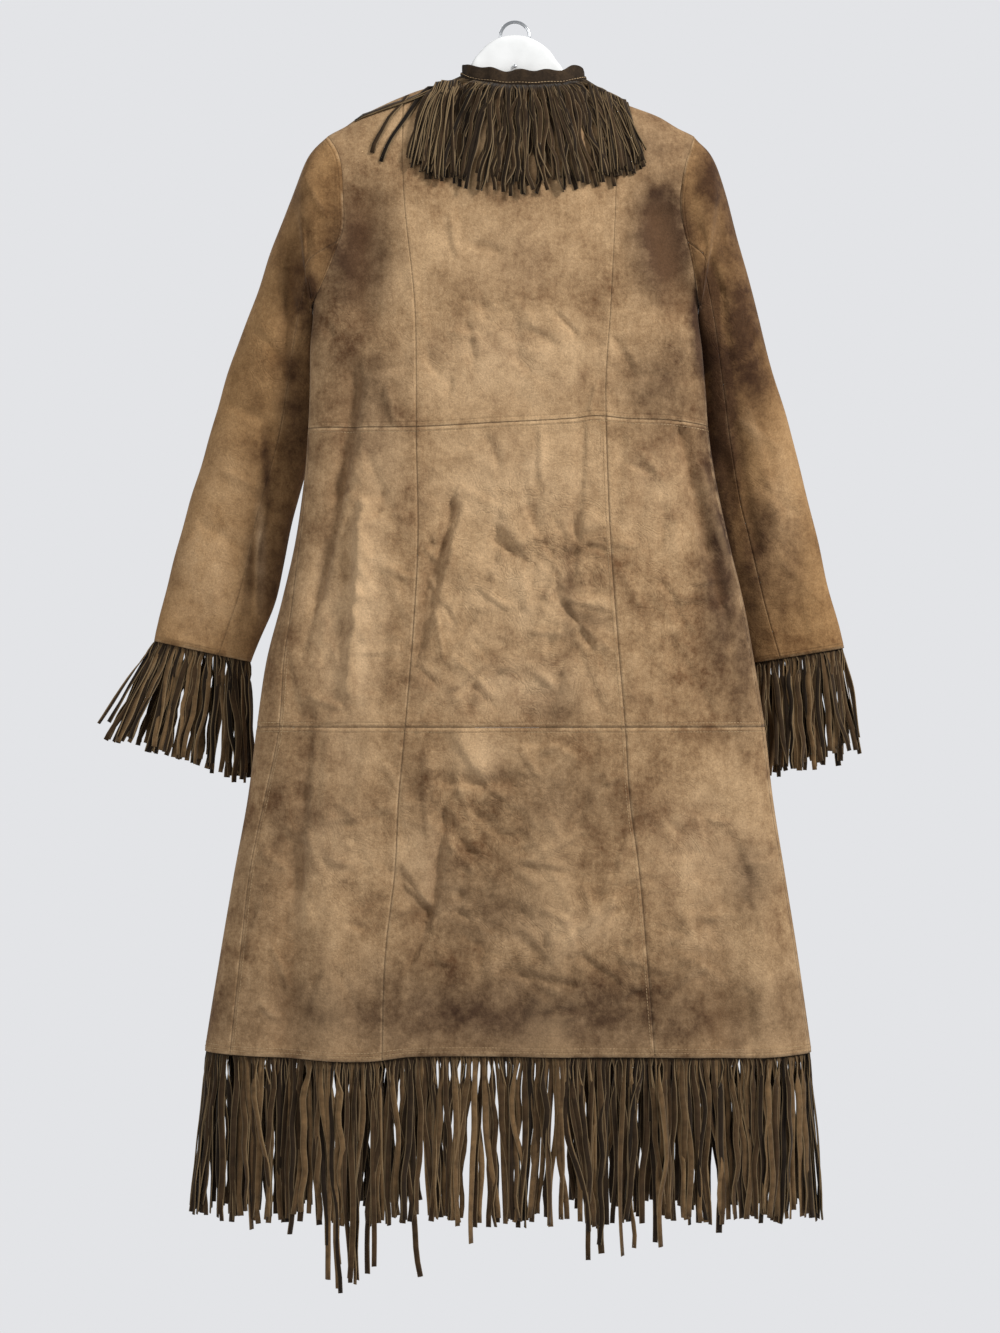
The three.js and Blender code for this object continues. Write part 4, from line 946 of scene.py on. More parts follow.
def hem_fringe(name, start, stop, count, seed):
    """Strands cut from a strip behind the hem, between two turns of the body ring."""
    random = np.random.default_rng(seed)
    fine = np.linspace(start, stop, 1201)
    line = body_surface(fine, np.full(fine.shape, HEM))[0]
    turns = spread_evenly(count, line, fine, 3.0)
    layer = random.choice([0.0, -1.3, -2.6], count)
    roots, _ = body_surface(turns, np.full(count, HEM + 2.5), -3.1)
    outs = body_normal(turns, np.full(count, HEM))
    outs[:, 2] = 0
    outs = unit(outs)
    x = roots[:, 0]
    tips = HEM - HEM_DROP + random.normal(0, 4.5, count) + 3 * np.sin(x / 19)
    aside = lean_at(x) + random.normal(0, 3.8, count) + 0.016 * x
    if name == "fringe_hem_back":
        for long_x, tip, end in zip(*LONG_STRANDS.values()):
            nearest = np.argmin(np.abs(x - long_x))
            tips[nearest], aside[nearest], layer[nearest] = tip, end - x[nearest], 0.0
    falls = np.stack([aside, -outs[:, 1] * 1.5, tips - roots[:, 2]], axis=-1)
    path = in_layers(strand_paths(roots, falls, outs, random, 3.6), outs, layer)
    ring = np.linspace(start, stop, 160)[None, :]
    levels = np.array([HEM + 10.0, HEM + 5, HEM - 1])[:, None]
    strip = strip_of(*(body_surface(ring, levels, off)[0] for off in (-2.2, -3.8)))
    widths = random.uniform(5.6, 7.8, count)
    # The front strands are toned darker, as painted shade for the fringe seen behind the back strands.
    tones = (0.0, 1.0) if name == "fringe_hem_back" else (0.0, 0.4)
    return strands_mesh(name, path, outs, widths, random, strip, tones)


hem_level = np.array([HEM])
left_side, right_side = (float(side_turn(side, hem_level, False)[0]) for side in ("left", "right"))
left_free, right_free = (float(front_turn(side, hem_level)[0]) for side in ("left", "right"))
HEM_PART = 0.0012  # turn between two strips at a side seam
hem_back = hem_fringe("fringe_hem_back", left_side + HEM_PART, right_side - HEM_PART, 200, 21)
hem_left = hem_fringe("fringe_hem_front_left", left_side - HEM_PART, left_free, 108, 22)
hem_right = hem_fringe("fringe_hem_front_right", right_side + HEM_PART, right_free, 108, 23)


CUFF_END = 0.497  # place of the strip's two ends, on the inside of the sleeve


def cuff_fringe(side, seed):
    """Strands all round a cuff, fanned outward along the line of the sleeve."""
    random = np.random.default_rng(seed)
    count = 78
    fine = np.linspace(-CUFF_END, CUFF_END, 801)
    end = np.array([SLEEVE_LAST - 0.035])
    line = sleeve_surface(side, fine, end)[0][0]
    places = spread_evenly(count, line, fine)
    roots = sleeve_surface(side, places, end, -3.1)[0][0]
    outs = unit(sleeve_surface(side, places, end, 1.0)[0][0] - roots)
    outer = (1 + np.cos(2 * np.pi * places)) / 2
    hand = -1 if side == "left" else 1
    spread = 58 * outer**1.7 + 1 if side == "left" else 16 * outer - 3
    drop = 130 - 23 * outer**2.5 + random.normal(0, 6, count)
    falls = np.stack([hand * spread + random.normal(0, 5, count), np.full(count, -5.0), -drop], axis=-1)
    path = strand_paths(roots, falls, outs, random, 2.6)
    path = in_layers(path, outs, random.uniform(-2.6, 0.0, count))
    ring = np.linspace(-CUFF_END, CUFF_END, 90)
    rows = np.array([SLEEVE_LAST - 0.14, SLEEVE_LAST - 0.06, SLEEVE_LAST + 0.012])
    strip = strip_of(*(sleeve_surface(side, ring, rows, off)[0] for off in (-2.3, -3.9)))
    widths = random.uniform(5.5, 7.8, count)
    return strands_mesh(f"fringe_cuff_{side}", path, outs, widths, random, strip)


cuff_left, cuff_right = cuff_fringe("left", 31), cuff_fringe("right", 32)


# %% [markdown]
# ## Collar fringe
# The collar's strands lie on the shoulders and the back, so their centre
# lines are first drawn freely and then moved out of the body. A few of them
# strayed far over the left shoulder.

# %% Collar fringe
def face_depth(x, z, front):
    """Depth of the upper body behind or in front of each x and z."""
    top = top_edge(x, front)
    fall = np.clip((top - z) / (top - ARMPIT), 0, 1)
    level = NECK + (ARMPIT - NECK) * fall
    return body_surface(turn_at(x, level, front), level)[0][..., 1]


def over_shoulders(path, front, lift, snug):
    """Moves centre lines out of the upper body: lift off its face, or above its ridge. Snug
    ones lie close on the face, just below the ridge."""
    x, y, z = path[..., 0], path[..., 1], path[..., 2]
    away = np.broadcast_to(front[:, None], x.shape)
    hand = np.where(away, 1.0, -1.0)
    ridge = top_edge(x, away)
    aside = np.abs(x - NECK_MIDDLE) > NECK_HALF - 3
    above = np.clip(1 - (ridge - z) / 40, 0, 1)
    loose = ~np.broadcast_to(snug[:, None], x.shape)
    room = lift[:, None] + np.where(np.abs(x - NECK_MIDDLE) > 45, 3.0, 0) * above * loose
    face = hand * np.maximum(hand * face_depth(x, z, away) + room, 3)
    near_ridge = np.clip((z - ridge + 10) / 10, 0, 1) * aside * loose
    new_y = face * (1 - near_ridge) + (hand * 3 + y * 0.3) * near_ridge
    on_ridge = np.where(z > ridge - 6, ridge + 0.3 * lift[:, None] - 0.4, z)
    on_ridge = np.where(loose, on_ridge, np.minimum(z, ridge - 2.4))
    moved = np.stack([x, new_y, np.where(aside, on_ridge, z)], axis=-1)
    moved[:, 0] = path[:, 0]
    return moved


def even_angles(count):
    """Angles that part the neck ring evenly along its length."""
    fine = np.linspace(-COLLAR_END, COLLAR_END, 801)
    return spread_evenly(count, neck_line(fine)[0], fine)


STRAYS = table("angle x z", """
    -1.36 -186 -111   -1.3 -178 -109   -1.22 -156 -152   -1.14 -148 -160
""")


def collar_foot(angle):
    """How much higher the fringe is caught at the sides of the neck."""
    return 4.5 * np.clip((np.abs(angle) - 1) / 0.4, 0, 1)


def collar_fringe(seed):
    """Strands from the foot of the collar, fanned over the shoulders, back and fronts."""
    random = np.random.default_rng(seed)
    sides = random.uniform(1.02, 1.62, 44) * np.tile([-1, 1], 22)
    angle = np.concatenate([even_angles(138), even_angles(90), sides, STRAYS["angle"]])
    count = len(angle)
    strays = np.arange(count) >= count - len(STRAYS["angle"])
    aside = (np.arange(count) >= count - len(STRAYS["angle"]) - len(sides)) & ~strays
    roots = collar_ring(angle, 1.6 + collar_foot(angle), np.full(count, 1.0))
    front = np.cos(angle) < 0
    fan = np.sin(angle)
    end_x = np.where(front, NECK_MIDDLE + 112 * fan, 13 + 127 * fan) + random.normal(0, 4, count)
    end_z = np.where(front, -236.0, -189.0) + random.normal(0, 6, count)
    end_z += np.where(front, 66.0, 34.0) * np.abs(fan) ** 3
    end_x[aside] = 13 + np.sign(fan[aside]) * random.uniform(84, 128, aside.sum())
    end_z[aside] = -208 + 0.34 * np.abs(end_x[aside] - 13) + random.normal(0, 5, aside.sum())
    front = front & ~aside
    end_x[strays], end_z[strays] = STRAYS["x"], STRAYS["z"]
    falls = np.stack([end_x - roots[:, 0], np.where(front, 6.0, -8.0), end_z - roots[:, 2]], axis=-1)
    outs = unit(np.stack([0.25 * fan, -np.cos(angle), np.full(count, 0.3)], axis=-1))
    bow = 0.55 * np.clip((np.abs(fan) - 0.35) / 0.5, 0, 1) * random.uniform(0.6, 1.15, count)
    bow = np.where(strays, np.where(end_z < -140, 0.5, 0.0), bow)[:, None, None]
    path = strand_paths(roots, falls, outs, random, 4.8, bow)
    lift = np.where(strays, 2.0, random.uniform(1.4, 6.5, count))
    path = over_shoulders(path, front, lift, strays)
    ring = np.linspace(-COLLAR_END, COLLAR_END, 200)[None, :]
    rise = np.array([0.6, 3.4, 6.2])[:, None] + collar_foot(ring)
    wide = np.broadcast_to(ring, rise.shape)
    strip = strip_of(*(collar_ring(wide, rise, np.full(rise.shape, off)) for off in (1.3, 0.1)))
    widths = np.where(strays, 6.4, random.uniform(4.5, 6.3, count))
    return strands_mesh("fringe_collar", path, outs, widths, random, strip, (0.0, 0.42))


fringe_collar = collar_fringe(41)
fringes = [hem_back, hem_left, hem_right, cuff_left, cuff_right, fringe_collar]
print("fringe faces:", {piece.name: len(piece.data.polygons) for piece in fringes})


# %% [markdown]
# ## Topstitching
# A needle goes through both layers every 3.6 mm and leaves a short dash of
# thread on the face. Each dash is one small bar laid on the surface, beside
# the waist, knee and hem seams, down the short jog at the right waist, beside
# the left side seam and the right princess seam, and at the collar's foot.

# %% Stitches
STITCH, STITCH_PITCH, STITCH_WIDE, STITCH_TALL = 2.5, 3.6, 0.55, 0.35
STITCH_SUNK = 0.12  # how deep a stitch pulls into the nap
SIDE_BESIDE = 4.0  # from the left side seam to its stitches
PRINCESS_BESIDE = 3.5  # from the right princess seam to its stitches
JOG_SIDES = (79.0, 94.5)  # x of the two short lines down the jog
SEWN = table("level beside", [(WAIST, -5), (KNEE, 5), (KNEE, -5), (HEM, 5), (HEM, 9.5)])


def fade_at(turn, level, beside):
    """Strength of the small creases beside a level seam, also fading at the long seams."""
    here = body_base(turn, level)
    seams = [princess_turn(side, level) for side in ("left", "right")]
    seams += [side_turn(side, level, False) for side in ("left", "right")]
    seams += [front_turn(side, level) for side in ("left", "right")]
    away = [np.linalg.norm(body_base(seam, level) - here, axis=-1) for seam in seams]
    nearest = np.minimum(np.min(away, axis=0), beside)
    return np.clip(nearest / CREASE_FADE, 0, 1) ** CREASE_POWER


def bars(heads, tails, normals):
    """Small bars from head to tail, standing off along their normals."""
    along, count = unit(tails - heads), len(heads)
    wide = unit(np.cross(normals, along)) * STITCH_WIDE / 2
    tall = normals * STITCH_TALL / 2
    ring = [wide + tall, tall - wide, -wide - tall, wide - tall]
    points = np.stack([end + side for end in (heads, tails) for side in ring], axis=1)
    faces = np.array([[0, 1, 2, 3], [7, 6, 5, 4], [0, 4, 5, 1], [1, 5, 6, 2], [2, 6, 7, 3], [3, 7, 4, 0]])
    quads = (np.arange(count) * 8)[:, None, None] + faces
    return points.reshape(-1, 3), quads.reshape(-1, 4)


def dashes(line, first):
    """Heads, tails and middles of the stitches along a line that starts first mm in: the two
    ends as points, the middles as run lengths, and the line's own run lengths."""
    run = run_along(line)
    starts = np.arange(first, run[-1] - STITCH_PITCH, STITCH_PITCH)
    heads, tails = (
        np.stack([np.interp(at, run, line[:, i]) for i in range(3)], axis=-1)
        for at in (starts, starts + STITCH)
    )
    return heads, tails, starts + STITCH / 2, run


def stitched(turns, levels, beside):
    """Stitches along a line of the body given by matching turns and levels."""
    off = STITCH_TALL / 2 - STITCH_SUNK
    line = body_surface(turns, levels, off, fade_at(turns, levels, beside))[0]
    heads, tails, middle, run = dashes(line, 2.0)
    return heads, tails, body_normal(np.interp(middle, run, turns), np.interp(middle, run, levels))


def collar_stitches():
    """Stitches that catch the fringe strip to the foot of the collar."""
    fine = np.linspace(-2.6, 2.6, 900)
    line = collar_ring(fine, 5.0 + collar_foot(fine), np.full(fine.shape, 1.45))
    heads, tails, middle, run = dashes(line, 0.0)
    return heads, tails, neck_line(np.interp(middle, run, fine))[1]


def all_stitches():
    """Every line of topstitching as one mesh."""
    lines = []
    for level, beside in zip(*SEWN.values()):
        ends = [float(front_turn(side, np.array([level]))[0]) for side in ("left", "right")]
        turns = np.linspace(ends[0], ends[1], 1400)
        lines.append(stitched(turns, np.full(turns.shape, level + beside), abs(beside)))
    jog_levels = np.linspace(WAIST - 7, WAIST - 42, 40)
    for jog_x in JOG_SIDES:
        turns = turn_at(np.full(jog_levels.shape, jog_x), jog_levels, False)
        lines.append(stitched(turns, jog_levels, CREASE_FADE))
    side_levels = np.linspace(-700, HEM + 3, 500)
    middle, half, _, _ = ring_at(side_levels)
    seam_x = middle - half + follow(LONG_SEAMS, "level", "side_left", side_levels)
    turns = turn_at(seam_x + SIDE_BESIDE, side_levels, False)
    lines.append(stitched(turns, side_levels, CREASE_FADE))
    down = np.linspace(WAIST - 8, HEM + 3, 700)
    seam_x = follow(LONG_SEAMS, "level", "princess_right", down)
    turns = turn_at(seam_x - PRINCESS_BESIDE, down, False)
    lines.append(stitched(turns, down, PRINCESS_BESIDE))
    lines.append(collar_stitches())
    heads, tails, normals = (np.concatenate(part) for part in zip(*lines))
    points, quads = bars(heads, tails, normals)
    return new_piece("stitching", points, outward(points, quads), {}, np.ones(len(quads), bool))


stitching = all_stitches()
print("stitches:", len(stitching.data.polygons) // 6)


# %% [markdown]
# ## Hanger and hook
# A slim moulded hanger with a domed neck. Its stations from tip to tip give
# the top, the bottom and the thickness, and a smooth curve between them gives
# the moulding. The hook is a bent wire.

# %% Hanger and hook
HANGER = table("x top bottom half back", """
    -192 -124 -131 3 0
    -186 -118 -133 6 0
    -171 -107.5 -124 7 0
    -149 -96 -112 7 0
    -129 -87 -104 7 0
    -105 -78.5 -97 7 0
    -83 -74.5 -92 6 -1
    -66 -75.5 -89 4.5 -3
    -57 -76 -86 2.8 -5
    -54.5 -72 -82 2 -5.7
    -52 -55 -79 1.8 -5.5
    -46 -42 -76 3.5 -5.7
    -38 -32 -72 3.5 -5.7
    -31 -25 -68 3.5 -5.7
    -21 -18.5 -63 3.5 -5.7
    -11 -15.3 -58 3.5 -5.7
    0 -14.3 -53 3.5 -5.7
    11 -15.3 -58 3.5 -5.7
    21 -19 -63 3.5 -5.7
    31 -25 -68 3.5 -5.7
    39 -32 -72 3.5 -5.7
    46 -42 -76 3.5 -5.7
    54 -54 -80 3.5 -5.7
    59 -74 -86 3.5 -5.7
    77 -77 -93 5 -2
    100 -83.5 -101 7 0
    126 -95.5 -112 7 0
    160 -109 -125 7 0
    177 -120 -134 6 0
    183 -126 -133 3 0
""")
HANGER_CORNERS, WIRE_CORNERS = 28, 16
ROUNDING = 0.6  # of the moulding's section, 1 would be an oval
stretches = ((-192, -60, 60), (-59, 62, 122), (64, 183, 56))
stations = np.concatenate([np.linspace(*stretch) for stretch in stretches])[:, None]
round_angle = 2 * np.pi * (np.arange(HANGER_CORNERS) + 0.5) / HANGER_CORNERS
top, half, back = (follow(HANGER, "x", key, stations) for key in ("top", "half", "back"))
bottom = np.interp(stations, HANGER["x"], HANGER["bottom"])
hanger_x = np.broadcast_to(stations, (len(stations), HANGER_CORNERS))
hanger_y = back + half * soft_power(np.cos(round_angle), ROUNDING)
hanger_z = (top + bottom) / 2 + (top - bottom) / 2 * soft_power(np.sin(round_angle), ROUNDING)
hanger = tube_mesh("hanger_moulding", np.stack([hanger_x, hanger_y, hanger_z], axis=-1), {})

HOOK_RADIUS, WIRE = 16.2, 1.8
arc = np.radians(np.linspace(-15, 215, 60))
centre = -(HOOK_RADIUS - WIRE)
bow = np.stack([HOOK_RADIUS * np.cos(arc), centre + HOOK_RADIUS * np.sin(arc)], axis=-1)
corner = np.array([bow[-1], [-6.0, centre - 16.5], [-1.0, centre - 22.0], [0.0, centre - 30.0]])
s = np.linspace(0, 1, 16)[:, None]
shares = [(1 - s) ** 3, 3 * (1 - s) ** 2 * s, 3 * (1 - s) * s**2, s**3]
sweep = sum(share * point for share, point in zip(shares, corner))
stem = np.stack([np.zeros(6), np.linspace(centre - 32, -52, 6)], axis=-1)
wire_line = np.concatenate([bow, sweep[1:], stem])
heading = unit(np.gradient(wire_line, axis=0))
across_wire = np.stack([heading[:, 1], -heading[:, 0]], axis=-1)
wire_angle = 2 * np.pi * np.arange(WIRE_CORNERS) / WIRE_CORNERS
ring_radius = np.full((len(wire_line), 1), WIRE)
ring_radius[[0, -1], 0] *= 0.55, 0.7
reach = ring_radius * np.cos(wire_angle)
wire_x, wire_z = (wire_line[:, [i]] + across_wire[:, [i]] * reach for i in (0, 1))
hook = tube_mesh("hook_wire", np.stack([wire_x, ring_radius * np.sin(wire_angle), wire_z], axis=-1), {})
RIVET_FACE, RIVET_HEIGHT = -9.5, -49.4
rivet_rise, rivet_radius = np.array([(0.0, 1.9), (0.5, 1.9), (0.9, 1.6), (1.2, 0.9)]).T[..., None]
rivet_y = np.broadcast_to(RIVET_FACE - rivet_rise, (len(rivet_rise), WIRE_CORNERS))
rivet_z = RIVET_HEIGHT + rivet_radius * np.sin(wire_angle)
rivet = tube_mesh("rivet_head", np.stack([rivet_radius * np.cos(wire_angle), rivet_y, rivet_z], axis=-1), {})
print("hanger, hook and rivet faces:", [len(o.data.polygons) for o in (hanger, hook, rivet)])


# %% [markdown]
# ## Materials
# Suede is the flesh side of a hide, buffed until it has a short nap. The nap
# scatters light softly, so it is very rough with a slight sheen, and its
# colour shifts in patches where it was brushed, handled and damp. Ridges are
# painted pale, as rubbed wear and painted highlight, and hollows are painted
# dark as shade.

# %% Material helpers
NOISE, MATH, MIX = "ShaderNodeTexNoise", "ShaderNodeMath", "ShaderNodeMix"
RANGE, ATTRIBUTE, MAPPING = "ShaderNodeMapRange", "ShaderNodeAttribute", "ShaderNodeMapping"
RAMP, COORDINATES, BUMP = "ShaderNodeValToRGB", "ShaderNodeTexCoord", "ShaderNodeBump"
PRINCIPLED, OUTPUT = "ShaderNodeBsdfPrincipled", "ShaderNodeOutputMaterial"
CARRY = ("Value", "From Min", "From Max", "To Min", "To Max")  # inputs of a range, in this order


def linear(hex_colour):
    """sRGB hex to linear colour with alpha."""
    values = np.array([int(hex_colour[i : i + 2], 16) for i in (1, 3, 5)]) / 255
    low, high = values / 12.92, ((values + 0.055) / 1.055) ** 2.4
    return (*np.where(values <= 0.04045, low, high), 1.0)


def new_material(name):
    """Empty node material with its tree."""
    material = bpy.data.materials.new(name)
    material.use_nodes = True
    material.node_tree.nodes.clear()
    return material, material.node_tree


def add(tree, kind, settings):
    """Adds one node and gives its outputs. A setting is a property or an input, a socket given
    for an input is linked, and the stops of a colour ramp are (place, hex) pairs."""
    node = tree.nodes.new(kind)
    for key, value in settings.items():
        if key == "stops":
            elements = node.color_ramp.elements
            while len(elements) < len(value):
                elements.new(0.5)
            for element, (place, colour) in zip(elements, value):
                element.position, element.color = place, linear(colour)
        elif isinstance(value, bpy.types.NodeSocket):
            tree.links.new(value, node.inputs[key])
        elif isinstance(key, int) or key in node.inputs:
            node.inputs[key].default_value = value
        else:
            setattr(node, key, value)
    return node.outputs


def painted(tree, colour, layers):
    """Colours laid one over another. A layer is its colour, its blend and the masks that are
    multiplied: values, or values with the four numbers of a range."""
    for paint, blend, *masks in layers:
        share = 1.0
        for mask in masks:
            value = add(tree, RANGE, dict(zip(CARRY, mask)))[0] if isinstance(mask, tuple) else mask
            share = add(tree, MATH, {"operation": "MULTIPLY", 0: share, 1: value})[0]
        paint = linear(paint) if isinstance(paint, str) else paint
        settings = {"data_type": "RGBA", "blend_type": blend, 0: share, 6: colour, 7: paint}
        colour = add(tree, MIX, settings)[2]
    return colour


# %% [markdown]
# ## Suede
# Its colour is laid on in layers, like paint: first the dye in its patches,
# then what years of wear did to it, with painted shade and painted highlight
# among those layers. The relief below it is a millimetre or so high and
# only bends the light.

# %% Suede
def suede_tones(tree, place, dark, mid, light, stain):
    """Colour of the nap: patches 75 mm, blotches 25 mm, scuffs 6 mm and short brushed streaks
    from dark to light, then brushed patches with painted highlight, stains with painted shade,
    painted shade in the hollows, ridges painted pale as rubbed wear and highlight, and seam lines."""
    drawn = add(tree, MAPPING, {"Vector": place, "Scale": (1, 1, 0.22)})[0]
    tone, noises = 0.0, []
    for vector, scale, detail, roughness, weight in (
        (place, 13, 3, 0.5, 1.0),
        (place, 36, 8, 0.66, 1.0),
        (place, 165, 6, 0.74, 0.85),
        (drawn, 120, 4, 0.7, 0.45),
    ):
        settings = {"Vector": vector, "Scale": scale, "Detail": detail, "Roughness": roughness}
        noises.append(add(tree, NOISE, settings)[0])
        tone = add(tree, MATH, {"operation": "MULTIPLY_ADD", 0: noises[-1], 1: weight, 2: tone})[0]
    _, blotches, scuffs, _ = noises
    spread = add(tree, RANGE, dict(zip(CARRY, (tone, 1.26, 2.0, 0, 1))))[0]
    base = add(tree, RAMP, {"Fac": spread, "stops": [(0.0, dark), (0.5, mid), (1.0, light)]})[0]
    glow, stain_and_shade_share, crest, seam, bold = (
        add(tree, ATTRIBUTE, {"attribute_name": name})["Fac"]
        for name in ("glow", "stain", "crest", "seam", "bold")
    )
    return painted(tree, base, (
        # Pale brushed nap, and painted highlight on lit ridges and sides.
        ("#c4a47e", "MIX", glow, (blotches, 0.34, 0.66, 0.45, 1.25)),
        # Stains, and painted shade under the arms, beside the sleeves and in creases, multiplied in.
        (stain, "MULTIPLY", stain_and_shade_share, (blotches, 0.68, 0.32, 0.66, 1.16)),
        # Painted shade in the hollows of the folds.
        (dark, "MIX", (crest, -1.5, -8, 0, 0.35)),
        # Ridges painted pale: rubbed wear and painted highlight.
        ("#bb9b75", "MIX", (crest, 1.5, 7, 0, 0.4)),
        ("#bfa07a", "MIX", (seam, 3.4, 1.4, 0, 0.42), (blotches, 0.45, 0.6, 0, 1), bold),
        ("#463320", "MIX", (seam, 1.0, 0.3, 0, 0.48), (scuffs, 0.38, 0.55, 0.35, 1), bold),
    ))


def suede_relief(tree, place):
    """Height in millimetres: soft lumps, fine crinkles where it is crumpled, puckers across the
    seams, the sunk topstitch line 5 mm from a level seam, and the nap."""
    settings = {"Vector": place, "Scale": 42, "Detail": 5, "Roughness": 0.62}
    height = add(tree, MATH, {"operation": "MULTIPLY", 0: add(tree, NOISE, settings)[0], 1: 1.5})[0]
    crumple, level_seam, long_seam = (
        add(tree, ATTRIBUTE, {"attribute_name": name})["Fac"]
        for name in ("crumple", "level_seam", "long_seam")
    )
    settings = {"Vector": place, "Scale": 24, "Detail": 3, "Roughness": 0.55, "Distortion": 0.7}
    veins = add(tree, NOISE, settings)[0]
    # Lines sunk by 0.45 mm: where the noise passes three values, and 5 mm from a level seam.
    sunk_lines = [(veins, centre, 0.022, crumple) for centre in (0.44, 0.52, 0.6)]
    for source, centre, width, strength in (*sunk_lines, (level_seam, 5.0, 1.6, 1.0)):
        offset = add(tree, MATH, {"operation": "SUBTRACT", 0: source, 1: centre})[0]
        offset = add(tree, MATH, {"operation": "ABSOLUTE", 0: offset})[0]
        sunk = add(tree, RANGE, dict(zip(CARRY, (offset, width, 0, 0, -0.45))))[0]
        height = add(tree, MATH, {"operation": "MULTIPLY_ADD", 0: sunk, 1: strength, 2: height})[0]
    # Puckers drawn out across a seam, highest 3 mm from it and gone at their reach.
    for seam, stretch, reach, tall in (
        (level_seam, (1, 1, 0.12), 15, 1.7),
        (long_seam, (0.12, 0.12, 1), 12, 1.2),
    ):
        drawn = add(tree, MAPPING, {"Vector": place, "Scale": stretch})[0]
        pucker = add(tree, NOISE, {"Vector": drawn, "Scale": 105, "Detail": 2})[0]
        near = add(tree, RANGE, dict(zip(CARRY, (seam, reach, 3, 0, tall))))[0]
        height = add(tree, MATH, {"operation": "MULTIPLY_ADD", 0: pucker, 1: near, 2: height})[0]
    nap = add(tree, NOISE, {"Vector": place, "Scale": 480, "Detail": 4, "Roughness": 0.75})[0]
    height = add(tree, MATH, {"operation": "MULTIPLY_ADD", 0: nap, 1: 0.5, 2: height})[0]
    return height, nap


def suede(name, dark, mid, light, stain, seed=0.0):
    """Napped suede: very rough, a faint sheen. The nap is drawn at 2 mm, coarser than the real
    0.3 mm, so that it shows from a stride away."""
    material, tree = new_material(name)
    start = add(tree, COORDINATES, {})["Object"]
    place = add(tree, MAPPING, {"Vector": start, "Location": (seed, seed * 0.7, seed * 1.3)})[0]
    colour = suede_tones(tree, place, dark, mid, light, stain)
    height, nap = suede_relief(tree, place)
    grain = add(tree, RANGE, dict(zip(CARRY, (nap, 0.3, 0.7, 0.76, 1.2))))[0]
    napped = painted(tree, colour, [(grain, "MULTIPLY")])
    bump = add(tree, BUMP, {"Strength": 0.9, "Distance": 0.001, "Height": height})[0]
    finish = {"Roughness": 0.94, "Sheen Weight": 0.06, "Sheen Roughness": 0.5, "Specular IOR Level": 0.15}
    shader = add(tree, PRINCIPLED, {**finish, "Base Color": napped, "Normal": bump})[0]
    add(tree, OUTPUT, {"Surface": shader})
    return material


tan_suede = suede("tan_suede", "#6b4c31", "#9c7d5a", "#bc9b74", "#7c7272")
sleeve_suede = suede("golden_suede", "#6a4a2b", "#916e47", "#a98459", "#837979", 3.1)
dark_suede = suede("dark_suede", "#1c140d", "#30251a", "#463727", "#2d2219", 5.7)


# %% [markdown]
# ## Fringe suede
# The cut edges of a strand are painted paler than its dyed faces, a painted
# highlight where the edges catch the light, its root is painted dark as the
# shade under the strip it hangs from, and every strand took the dye a little differently.

# %% Fringe material
def fringe_suede():
    """Dark suede strands with a painted highlight along both cut edges and painted shade at the root, each
    with its own tone.
    """
    material, tree = new_material("fringe_suede")
    place = add(tree, COORDINATES, {})["Object"]
    tone, across, down = (
        add(tree, ATTRIBUTE, {"attribute_name": name})["Fac"] for name in ("tone", "across", "down")
    )
    across = add(tree, MATH, {"operation": "ABSOLUTE", 0: across})[0]
    stops = [(0.0, "#1b130b"), (0.5, "#3e2d1b"), (1.0, "#6e5538")]
    face = add(tree, RAMP, {"Fac": tone, "stops": stops})[0]
    blotch = add(tree, NOISE, {"Vector": place, "Scale": 90, "Detail": 4, "Roughness": 0.65})[0]
    shade = add(tree, RANGE, dict(zip(CARRY, (blotch, 0.3, 0.7, 0.62, 1.4))))[0]
    colour = painted(tree, face, (
        (shade, "MULTIPLY"),
        # Painted highlight along both cut edges of a strand.
        ("#8f7857", "MIX", (across, 0.7, 1.0, 0, 0.6)),
        # Painted shade at the root, under the strip the strand hangs from.
        ("#2a1f13", "MIX", (down, 0.1, 0.0, 0, 0.6)),
    ))
    nap = add(tree, NOISE, {"Vector": place, "Scale": 700, "Detail": 2})[0]
    bump = add(tree, BUMP, {"Strength": 0.6, "Distance": 0.0006, "Height": nap})[0]
    finish = {"Roughness": 0.92, "Sheen Weight": 0.05, "Specular IOR Level": 0.15}
    shader = add(tree, PRINCIPLED, {**finish, "Base Color": colour, "Normal": bump})[0]
    add(tree, OUTPUT, {"Surface": shader})
    return material


# %% [markdown]
# ## Thread, hanger and hook finishes
# The seams are sewn with a pale tan polyester thread, its tone uneven with
# wear. The hanger is injection moulded ABS with a satin face and the faint
# cloudiness of moulding. The hook is drawn steel wire, bright plated, with
# fine drawing lines.

# %% Thread and hard finishes
def hard_finish(name, scale, detail, settings, stops=None, shine=None):
    """Finish with a noise over it: a ramp's stops turn it into colour, and two roughnesses
    into shine."""
    material, tree = new_material(name)
    place = add(tree, COORDINATES, {})["Object"]
    noise = add(tree, NOISE, {"Vector": place, "Scale": scale, "Detail": detail})[0]
    if stops:
        settings["Base Color"] = add(tree, RAMP, {"Fac": noise, "stops": stops})[0]
    if shine:
        settings["Roughness"] = add(tree, RANGE, dict(zip(CARRY, (noise, 0, 1, *shine))))[0]
    shader = add(tree, PRINCIPLED, settings)[0]
    add(tree, OUTPUT, {"Surface": shader})
    return material


fringe_look = fringe_suede()
thread_tones = [(0.35, "#8d7250"), (0.65, "#b4976f")]
thread_look = hard_finish("spun_thread", 60, 3, {"Roughness": 0.6, "IOR": 1.5}, thread_tones)
plastic_tones = [(0.3, "#e3e3e1"), (0.7, "#f0f0ee")]
white_abs = hard_finish("white_abs", 40, 3, {"IOR": 1.53}, plastic_tones, (0.32, 0.45))
plating = {"Base Color": linear("#c9cbcd"), "Metallic": 1.0}
wire_look = hard_finish("plated_wire", 500, 2, plating, shine=(0.2, 0.34))
print("materials:", len(bpy.data.materials))
